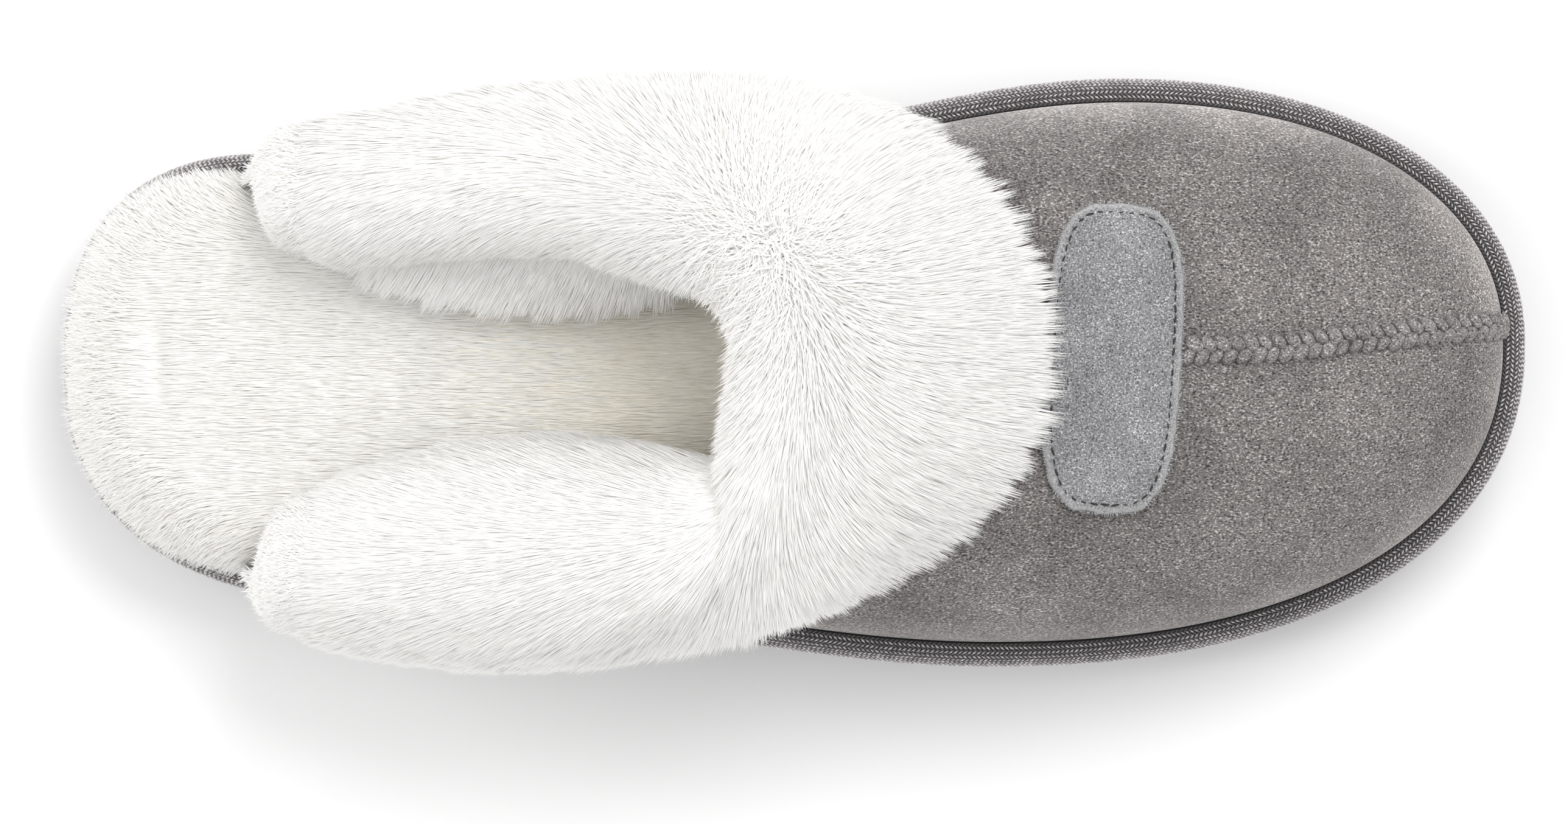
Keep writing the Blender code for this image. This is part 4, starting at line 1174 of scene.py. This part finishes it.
# Plush cuff folded over the rim. Rows: rim angle, hem x and angle, inner hem x and angle,
# then the depths of pile, fold, lining and crease, with lengths in mm
cuff = {
    "medial": [
        (17.6, 46, 1.5, 46, 3, 10, 11.5, 12.5, 0), (20, 60, 5, 60, 12, 13.5, 14, 15, 0),
        (27, 82, 5, 80, 12, 19, 9, 19.5, 3), (38, 108, 6, 102, 13, 22, 5.5, 20, 2.5),
        (52, 146, 12, 126, 26, 19, 9.5, 16, 2), (70, 158, 48, 148, 60, 13.5, 10, 11, 0.5),
    ],
    "throat": (90, 174, 90, 160, 90, 12, 8, 9, 0),
    "lateral": [
        (17.6, 46, 1.5, 46, 3, 10.5, 13.5, 13.5, 0), (20, 58, 5, 60, 12, 14.5, 19, 15, 0),
        (27, 76, 5, 80, 12, 16.5, 26, 22, 0), (38, 90, 6, 102, 13, 15, 27.5, 24, 0),
        (52, 103, 16, 126, 26, 12.5, 20.5, 19, 0), (70, 148, 56, 148, 60, 12, 12, 13, 0),
    ],
    "substeps": 12, "outerCount": 14, "turnCount": 8, "innerCount": 11,
    "clearance": 0.9 * mm, "rootDepth": 1.1 * mm, "hemThick": 4 * mm, "innerHemThick": 6 * mm,
    "skinShare": 0.86, "fullFrom": 0.7, "merge": 0.01 * mm,
    "endSteps": 9, "endTurn": 0.95, "endReach": 10 * mm, "endDrop": 6 * mm, "endBacks": (1.1, 0.75),
    "easeReach": 14, "easeSpread": 6, "easeAt": 0.125, "easeWide": 0.13, "easeColumns": ([7, 13], [0, 1]),
}
# Its nap, by place round the cuff from -0.5 at the medial end to 0.5 at the lateral end,
# by column from the hem over the crest to the inner hem, or by steps from an end
cuffNap = {
    "parting": ([-0.5, -0.2, -0.08, 0, 0.12, 0.25, 0.5], [14.5, 14.5, 13.5, 13, 15, 17, 17]),
    "sharp": ([-0.25, -0.1, 0.05, 0.25], [0.22, 0.28, 0.28, 0.22]),
    "outFlow": ([-0.5, -0.3, -0.1, 0, 0.1, 0.3, 0.5], [45, 68, 80, 88, 82, 60, 48]),
    "inFlow": ([-0.5, -0.3, -0.1, 0, 0.1, 0.3, 0.5], [45, 58, 75, 88, 80, 66, 45]),
    "whorl": -0.07, "whorlTurn": 0.07, "whorlWide": 0.06, "whorlWild": 0.8,
    "whorlColumn": 13.5, "whorlColumns": 3,
    "sweep": ([6, 17], [1.0, 0.0]), "sweepWay": (-0.75, 0, -0.6), "flowShare": 0.96, "fullFlow": 0.25,
    "lean": ([0, 3, 8, 22, 31], [0.94, 0.955, 0.97, 0.97, 0.965]), "endLean": ([6, 20], [0.05, 0.0]),
    "lowSide": ([0.05, 0.2], [0.0, 1.0]), "lowColumns": ([2, 10], [1.0, 0.0]),
    "lowLean": 0.03, "lowGather": 0.3,
    "gather": ([0, 4, 9], [1.0, 0.8, 0.25]), "endWild": ([9, 17], [0.36, 0.0]),
    "length": ([0, 4, 13, 17.4, 31], [9.8 * mm, 9 * mm, 9 * mm, 7.5 * mm, 7 * mm]),
    "endLength": ([0, 9, 23], [0.5, 0.62, 1.0]), "wildShorter": 0.3,
    "uprightLength": ([0, 0.95], [0.4, 1.0]),
    "pile": {
        "Density": 18e6, "Lock Density": 3.4e5, "Width": 0.235 * mm, "Droop": 0.35, "Under Share": 0.45,
        "Lock Jitter": 0.22, "Gather": 0.36, "Ruffle": 0.06, "Frizz": 0.07,
    },
    "chunks": 9, "seed": 40,
}


def cuffStations():
    rows = list(cuff["medial"]) + [cuff["throat"]]
    for rim, hemX, hem, innerX, inner, *rest in reversed(cuff["lateral"]):
        rows.append((180 - rim, hemX, 180 - hem, innerX, 180 - inner, *rest))
    final = len(rows) - 1
    stations = []
    for index in range(final * cuff["substeps"] + 1):
        row = min(index // cuff["substeps"], final - 1)
        share = index / cuff["substeps"] - row
        picks = [rows[min(max(row + step, 0), final)] for step in (-1, 0, 1, 2)]
        stations.append([catmull(*values, share) for values in zip(*picks)])
    return stations


# One section: the fur side from hem over the rim to the inner hem, the way back along the upper's wall,
# and that way as it closes behind the wall
def cuffSection(row):
    rimAngle, hemX, hem, innerX, inner, *depths = row
    pile, fold, liningDepth, crease = (depth * mm for depth in depths)
    clearance, halfWall = cuff["clearance"], upper["wall"] / 2
    outerLast, innerLast, turnCount = cuff["outerCount"] - 1, cuff["innerCount"] - 1, cuff["turnCount"]
    rimX = collarX(min(rimAngle, 180 - rimAngle))
    rim, rimNormal = instepPoint(rimX, rimAngle), instepNormal(rimX, rimAngle)

    def leaf(endX, end, share):
        x, girth = mix(endX * mm, rimX, share), mix(end, rimAngle, share)
        return instepPoint(x, girth), instepNormal(x, girth)

    def skinOffset(depth):
        return clearance + (depth - clearance) * cuff["skinShare"]

    outer = [leaf(hemX, hem, k / outerLast) for k in range(outerLast + 1)]
    inside = [leaf(innerX, inner, 1 - k / innerLast) for k in range(innerLast + 1)]
    towardRim = rim - outer[-2][0]
    upwards = (towardRim - rimNormal * towardRim.dot(rimNormal)).normalized()
    core = rim - rimNormal * halfWall
    fur = []
    for k, (spot, normal) in enumerate(outer):
        swell = math.sin(math.pi / 2 * min(k / outerLast / cuff["fullFrom"], 1))
        fur.append(spot + normal * skinOffset(mix(cuff["hemThick"], pile, swell)))
    for k in range(1, turnCount):
        angle = math.pi * k / turnCount
        reach = halfWall + skinOffset(mix(pile, fold, k / turnCount))
        fur.append(core + (rimNormal * math.cos(angle) + upwards * math.sin(angle)) * reach)
    profile = [(0, fold), (0.2, fold - crease), (0.6, liningDepth), (1, cuff["innerHemThick"])]
    for k, (spot, normal) in enumerate(inside):
        fur.append(spot - normal * (upper["wall"] + skinOffset(curveAt(profile, k / innerLast))))
    back, front = inside[::2][::-1], outer[::2][::-1]
    wall = [spot - normal * (upper["wall"] + clearance) for spot, normal in back]
    wall += [core + upwards * (halfWall + clearance)] + [spot + normal * clearance for spot, normal in front]
    slit = [spot - normal * halfWall for spot, normal in back] + [core]
    slit += [spot - normal * halfWall for spot, normal in front]
    return np.array(fur), np.array(wall), np.array(slit)


# Sections round the shoe, with rounded ends: ever smaller copies of the end sections, further back
def cuffSections():
    sections = [cuffSection(row) for row in cuffStations()]
    ends = (sections[0], sections[-1])
    sections = [section[:2] for section in sections]
    for atStart, (fur, wall, slit) in zip((True, False), ends):
        middle = np.concatenate([fur, wall]).mean(axis=0) - np.array((0, 0, cuff["endDrop"]))
        for k in range(1, cuff["endSteps"] + 1):
            angle = math.pi / 2 * cuff["endTurn"] * k / cuff["endSteps"]
            shrink, reach = 1 - math.cos(angle), -cuff["endReach"] * math.sin(angle)
            # the outer side reaches further back than the inner
            copy = tuple(
                part + (middle - part) * shrink + np.outer(np.linspace(*backs, len(part)), (reach, 0, 0))
                for part, backs in ((fur, cuff["endBacks"]), (slit, cuff["endBacks"][::-1])))
            sections.insert(0 if atStart else len(sections), copy)
    return sections


def makeCuff():
    sections = cuffSections()
    grid, walls = (np.array([section[part] for section in sections]) for part in (0, 1))
    rowCount, furCount = grid.shape[:2]
    share, column = np.linspace(-0.5, 0.5, rowCount), np.arange(furCount)
    fromEnd = np.minimum(np.arange(rowCount), np.arange(rowCount)[::-1])
    middles = np.concatenate([grid, walls], axis=1).mean(axis=1)
    # the turn from the outer side to the throat is eased, so that the fold creases less
    reach = cuff["easeReach"]
    weights = np.exp(-0.5 * (np.arange(-reach, reach + 1) / cuff["easeSpread"]) ** 2)
    padded = np.pad(grid, ((reach, reach), (0, 0), (0, 0)), mode="edge")
    eased = sum(weight * padded[k:k + rowCount] for k, weight in enumerate(weights)) / weights.sum()
    ease = np.exp(-((share - cuff["easeAt"]) / cuff["easeWide"]) ** 4)[:, None]
    grid += (eased - grid) * (ease * readCurve(cuff["easeColumns"], column))[:, :, None]
    along = unitLength(np.gradient(grid, axis=1), 1e-9)
    lengthwise = np.gradient(grid, axis=0)
    outwards = unitLength(np.cross(along, lengthwise))
    outwards *= np.sign((outwards * (grid - middles[:, None])).sum(axis=2).mean())
    # the backing lies a little below the roots, so that the pile also covers its hollows
    backing = grid - outwards * cuff["rootDepth"]
    points = np.concatenate([backing, walls], axis=1)
    count = points.shape[1]
    faces = gridFaces(rowCount, count, closedColumns=True)
    faces += [tuple(range(count)), tuple(range((rowCount - 1) * count, rowCount * count))]
    skin = makePiece("cuffSkin", points.reshape(-1, 3), faces, plushBacking)
    cleanMesh(skin, cuff["merge"])
    dress(skin, "cuff_plush", "cuff")

    def around(key):
        return readCurve(cuffNap[key], share)[:, None]

    def across(key):
        return readCurve(cuffNap[key], column)[None, :]

    def atEnds(key):
        return readCurve(cuffNap[key], fromEnd)[:, None]

    # the pile parts along the crest, hangs to the hem outside and leans into the shoe inside,
    # and turns from one to the other by way of the heel, round a whorl at the throat
    turnTo = np.tanh((column[None, :] - around("parting")) * around("sharp"))
    turnTo *= np.radians(np.where(turnTo < 0, around("outFlow"), around("inFlow")))
    fromWhorl = share - cuffNap["whorl"]
    heelward = unitLength(lengthwise, 1e-9) * np.clip(fromWhorl / cuffNap["whorlTurn"], -1, 1)[:, None, None]
    naps = along * np.sin(turnTo)[:, :, None] + heelward * np.cos(turnTo)[:, :, None]
    # at its two ends the cuff sweeps straight back over the footbed
    sweep = atEnds("sweep")[:, :, None]
    naps = naps * cuffNap["flowShare"] * (1 - sweep) + np.array(cuffNap["sweepWay"]) * sweep
    naps -= outwards * (naps * outwards).sum(axis=2, keepdims=True)
    flow = np.linalg.norm(naps, axis=2)
    lowOutside = around("lowSide") * across("lowColumns")
    lean = across("lean") - cuffNap["lowLean"] * lowOutside - atEnds("endLean")
    lean = lean * np.minimum(1.0, flow / cuffNap["fullFlow"])
    naps *= (lean / np.maximum(flow, 1e-9))[:, :, None]
    gathers = across("gather") + cuffNap["lowGather"] * lowOutside
    awayRound = (fromWhorl / cuffNap["whorlWide"])[:, None]
    awayAcross = ((column - cuffNap["whorlColumn"]) / cuffNap["whorlColumns"])[None, :]
    wild = cuffNap["whorlWild"] * np.exp(-awayRound ** 2 - awayAcross ** 2) + atEnds("endWild")
    # upright pile is cut shorter, so that it stands no higher than the rest
    lengths = atEnds("endLength") * across("length") * (1 - cuffNap["wildShorter"] * wild)
    lengths *= readCurve(cuffNap["uprightLength"], np.linalg.norm(naps, axis=2))
    bounds = np.linspace(0, rowCount - 1, cuffNap["chunks"] + 1).astype(int)
    for k, (first, final) in enumerate(zip(bounds, bounds[1:])):
        part = slice(first, final + 1)
        fields = {"pileLength": lengths, "cover": np.ones_like(lengths), "gathered": gathers, "wild": wild}
        growPile("cuffPile%d" % (k + 1), "cuff_plush", grid[part].reshape(-1, 3),
                 gridFaces(final + 1 - first, furCount), naps[part].reshape(-1, 3),
                 {field: values[part].ravel() for field, values in fields.items()},
                 cuffPile, cuffNap["pile"], cuffNap["seed"] + k)


# Footbed: rings of inward and rise, in mm, and share of the heel's overhang; pile stands on its skin
footbed = {
    "rings": [
        (0, 0, 0), (0, 2, 0), (0, 3.2, 0.5), (0.3, 4.8, 0.5), (1.6, 6.8, 0.3), (4, 8.6, 0.1), (7, 9.6, 0),
        (10, 10, 0), (12.5, 10.2, 0), (15, 10.2, 0), (18, 10.2, 0), (21, 10.2, 0),
    ],
    "openInset": 5.4 * mm, "closedInset": 8.4 * mm, "widens": (33 * mm, 42 * mm), "steps": 110,
    "overhang": 3.2 * mm, "overhangFades": (14 * mm, 34 * mm), "rootDepth": 1 * mm, "sunkFrom": 4,
    "dentX": 23 * mm, "dentLong": 2 * mm, "dentWide": 7 * mm, "dentDeep": 1.3 * mm,
    "dentFrom": 6, "dentShorter": 0.5,
    "centreX": 60 * mm, "rim": ([8, 13], [1.0, 0.0]), "rimEnds": ([22 * mm, 45 * mm], [1.0, 0.0]),
    "rimFall": ([0, 1.6, 7], [1.1, 0.6, 0.0]), "rimWild": 0.3, "lean": ([0, 4, 12], [0.88, 0.93, 0.974]),
    "length": ([0, 12], [0.58 * 8.5 * mm, 8.5 * mm]), "cover": ([120 * mm, 150 * mm], [1.0, 0.08]),
    # share of the footbed pile painted brighter and warmer for the shoe's shaded depth, by x
    "paintedLightShare": ([75 * mm, 112 * mm], [0.0, 1.0]),
    "pile": {
        "Density": 13.2e6, "Lock Density": 1.2e5, "Width": 0.245 * mm, "Droop": 0.35, "Under Share": 0.45,
        "Lock Jitter": 0.1, "Gather": 0.12, "Ruffle": 0.06, "Frizz": 0.07,
    },
    "seed": 70,
}


def heelDent(x, y):
    return np.exp(-((x - footbed["dentX"]) / footbed["dentLong"]) ** 2 - (y / footbed["dentWide"]) ** 4)


def makeFootbed():
    loop = soleOutline(footbed["steps"])
    count = len(loop)
    points = []
    for inward, rise, overhang in footbed["rings"]:
        insets = []
        for x, y in loop:
            edge = mix(footbed["openInset"], footbed["closedInset"], fade(x, *footbed["widens"]))
            proud = footbed["overhang"] * (1 - fade(x, *footbed["overhangFades"])) * overhang
            insets.append(edge + inward * mm - proud)
        for x, y in insetLoop(loop, np.array(insets)):
            dent = footbed["dentDeep"] * heelDent(x, y) * (inward > footbed["dentFrom"])
            points.append((x, y, platformTop(x) + last["seatGap"] + rise * mm - dent))
    points = np.array(points)
    ringCount = len(footbed["rings"])
    ringIndex = np.repeat(np.arange(ringCount), count)
    sides = gridFaces(ringCount, count, closedColumns=True)
    lid = capFaces((ringCount - 1) * count, count)
    backing = points - np.array((0, 0, footbed["rootDepth"])) * (ringIndex >= footbed["sunkFrom"])[:, None]
    skin = makePiece("footbedSkin", backing, sides + capFaces(0, count) + lid, plushBacking)
    cleanMesh(skin)
    dress(skin, "footbed_plush", "insole")

    # nap: lengthwise in the middle, outwards over the rim at the open heel
    x, y = points[:, 0], points[:, 1]
    outward = unitLength((points - np.array((footbed["centreX"], 0, 0))) * (1, 1, 0))
    inwards = np.array([row[0] for row in footbed["rings"]])[ringIndex]
    rim = readCurve(footbed["rim"], inwards) * readCurve(footbed["rimEnds"], x)
    naps = outward * rim[:, None] + np.array((-1.0, 0, 0)) * (1 - rim)[:, None]
    naps += np.array((0, 0, -1.0)) * (rim * readCurve(footbed["rimFall"], inwards))[:, None]
    naps = unitLength(naps) * readCurve(footbed["lean"], inwards)[:, None]
    lengths = readCurve(footbed["length"], inwards) * (1 - footbed["dentShorter"] * heelDent(x, y))
    covers = readCurve(footbed["cover"], x) * (ringIndex > 0)
    faces = [tuple(reversed(face)) for face in sides + lid]
    # the pile deep inside the shoe, where shade falls, is painted brighter and warmer to lift that shade
    deep = readCurve(footbed["paintedLightShare"], x)
    parts = (("footbedPile", 1 - deep, footbedPile), ("footbedPileDeep", deep, paintedLightPile))
    for k, (name, part, finish) in enumerate(parts):
        fields = {
            "pileLength": lengths, "cover": covers * part, "gathered": np.ones(len(points)),
            "wild": footbed["rimWild"] * rim,
        }
        growPile(name, "footbed_plush", points, faces, naps, fields, finish,
                 footbed["pile"], footbed["seed"] + k)


makeSole()
makeTape()
print("sole and tape made")
makeVamp()
makeSeam()
makePatch()
print("vamp, seam and patch made")
makeFootbed()
makeCuff()
print("footbed and cuff made")

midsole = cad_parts["midsole"].data
midsole.materials.clear()
midsole.materials.append(platformFoam)


# Pale floor, soft studio light and the camera straight above
studio = {
    "floorSize": 6.0, "world": 0.835, "lampSize": 0.9, "bounces": 16,
    "lamps": {"key": (14.5, (0.5, 0.85, 1.55)), "fill": (5.5, (-1.2, 0.15, 0.85))},  # power and place
}


def makeStudio():
    material, tree, shader = newMaterial("paleFloor", {"Roughness": 0.9, "Specular IOR Level": 0.1})
    setLook(tree, shader, ramp(tree, noise(tree, 20.0), (0.3, 0.965), (0.7, 0.975)))
    half = studio["floorSize"] / 2
    corners = [(-half, -half, 0), (half, -half, 0), (half, half, 0), (-half, half, 0)]
    floor = addObject("floor", plainMesh("floor", corners, [(0, 1, 2, 3)], material))

    scene = bpy.context.scene
    scene.world = bpy.data.worlds.new("studio")
    scene.world.use_nodes = True
    sky = scene.world.node_tree.nodes["Background"].inputs
    sky["Color"].default_value = (1, 1, 1, 1)
    sky["Strength"].default_value = studio["world"]
    for name, (power, place) in studio["lamps"].items():
        lamp = bpy.data.lights.new(name, "AREA")
        lamp.energy = power
        lamp.size = studio["lampSize"]
        light = addObject(name, lamp)
        light.location = place
        light.rotation_euler = (-Vector(place)).to_track_quat("-Z", "Y").to_euler()
    scene.view_settings.view_transform = "Standard"
    scene.cycles.diffuse_bounces = studio["bounces"]  # white pile passes light on many times


# The photo's frame: pixels across, and the size of one at scaleHeight above the floor
photo = {
    "width": 2576, "pixel": 0.11297 * mm, "scaleHeight": 14 * mm,
    "centre": (133.42 * mm, -8.7 * mm), "distance": 1.5, "sensor": 36,
}


def makeCamera():
    lens = bpy.data.cameras.new("camera")
    lens.sensor_width = photo["sensor"]
    span = photo["width"] * photo["pixel"]
    lens.lens = photo["sensor"] * (photo["distance"] - photo["scaleHeight"]) / span
    camera = addObject("camera", lens)
    camera.location = (photo["centre"][0] + shift.x, photo["centre"][1] + shift.y, photo["distance"])
    bpy.context.scene.camera = camera


makeStudio()
makeCamera()
print("studio ready")
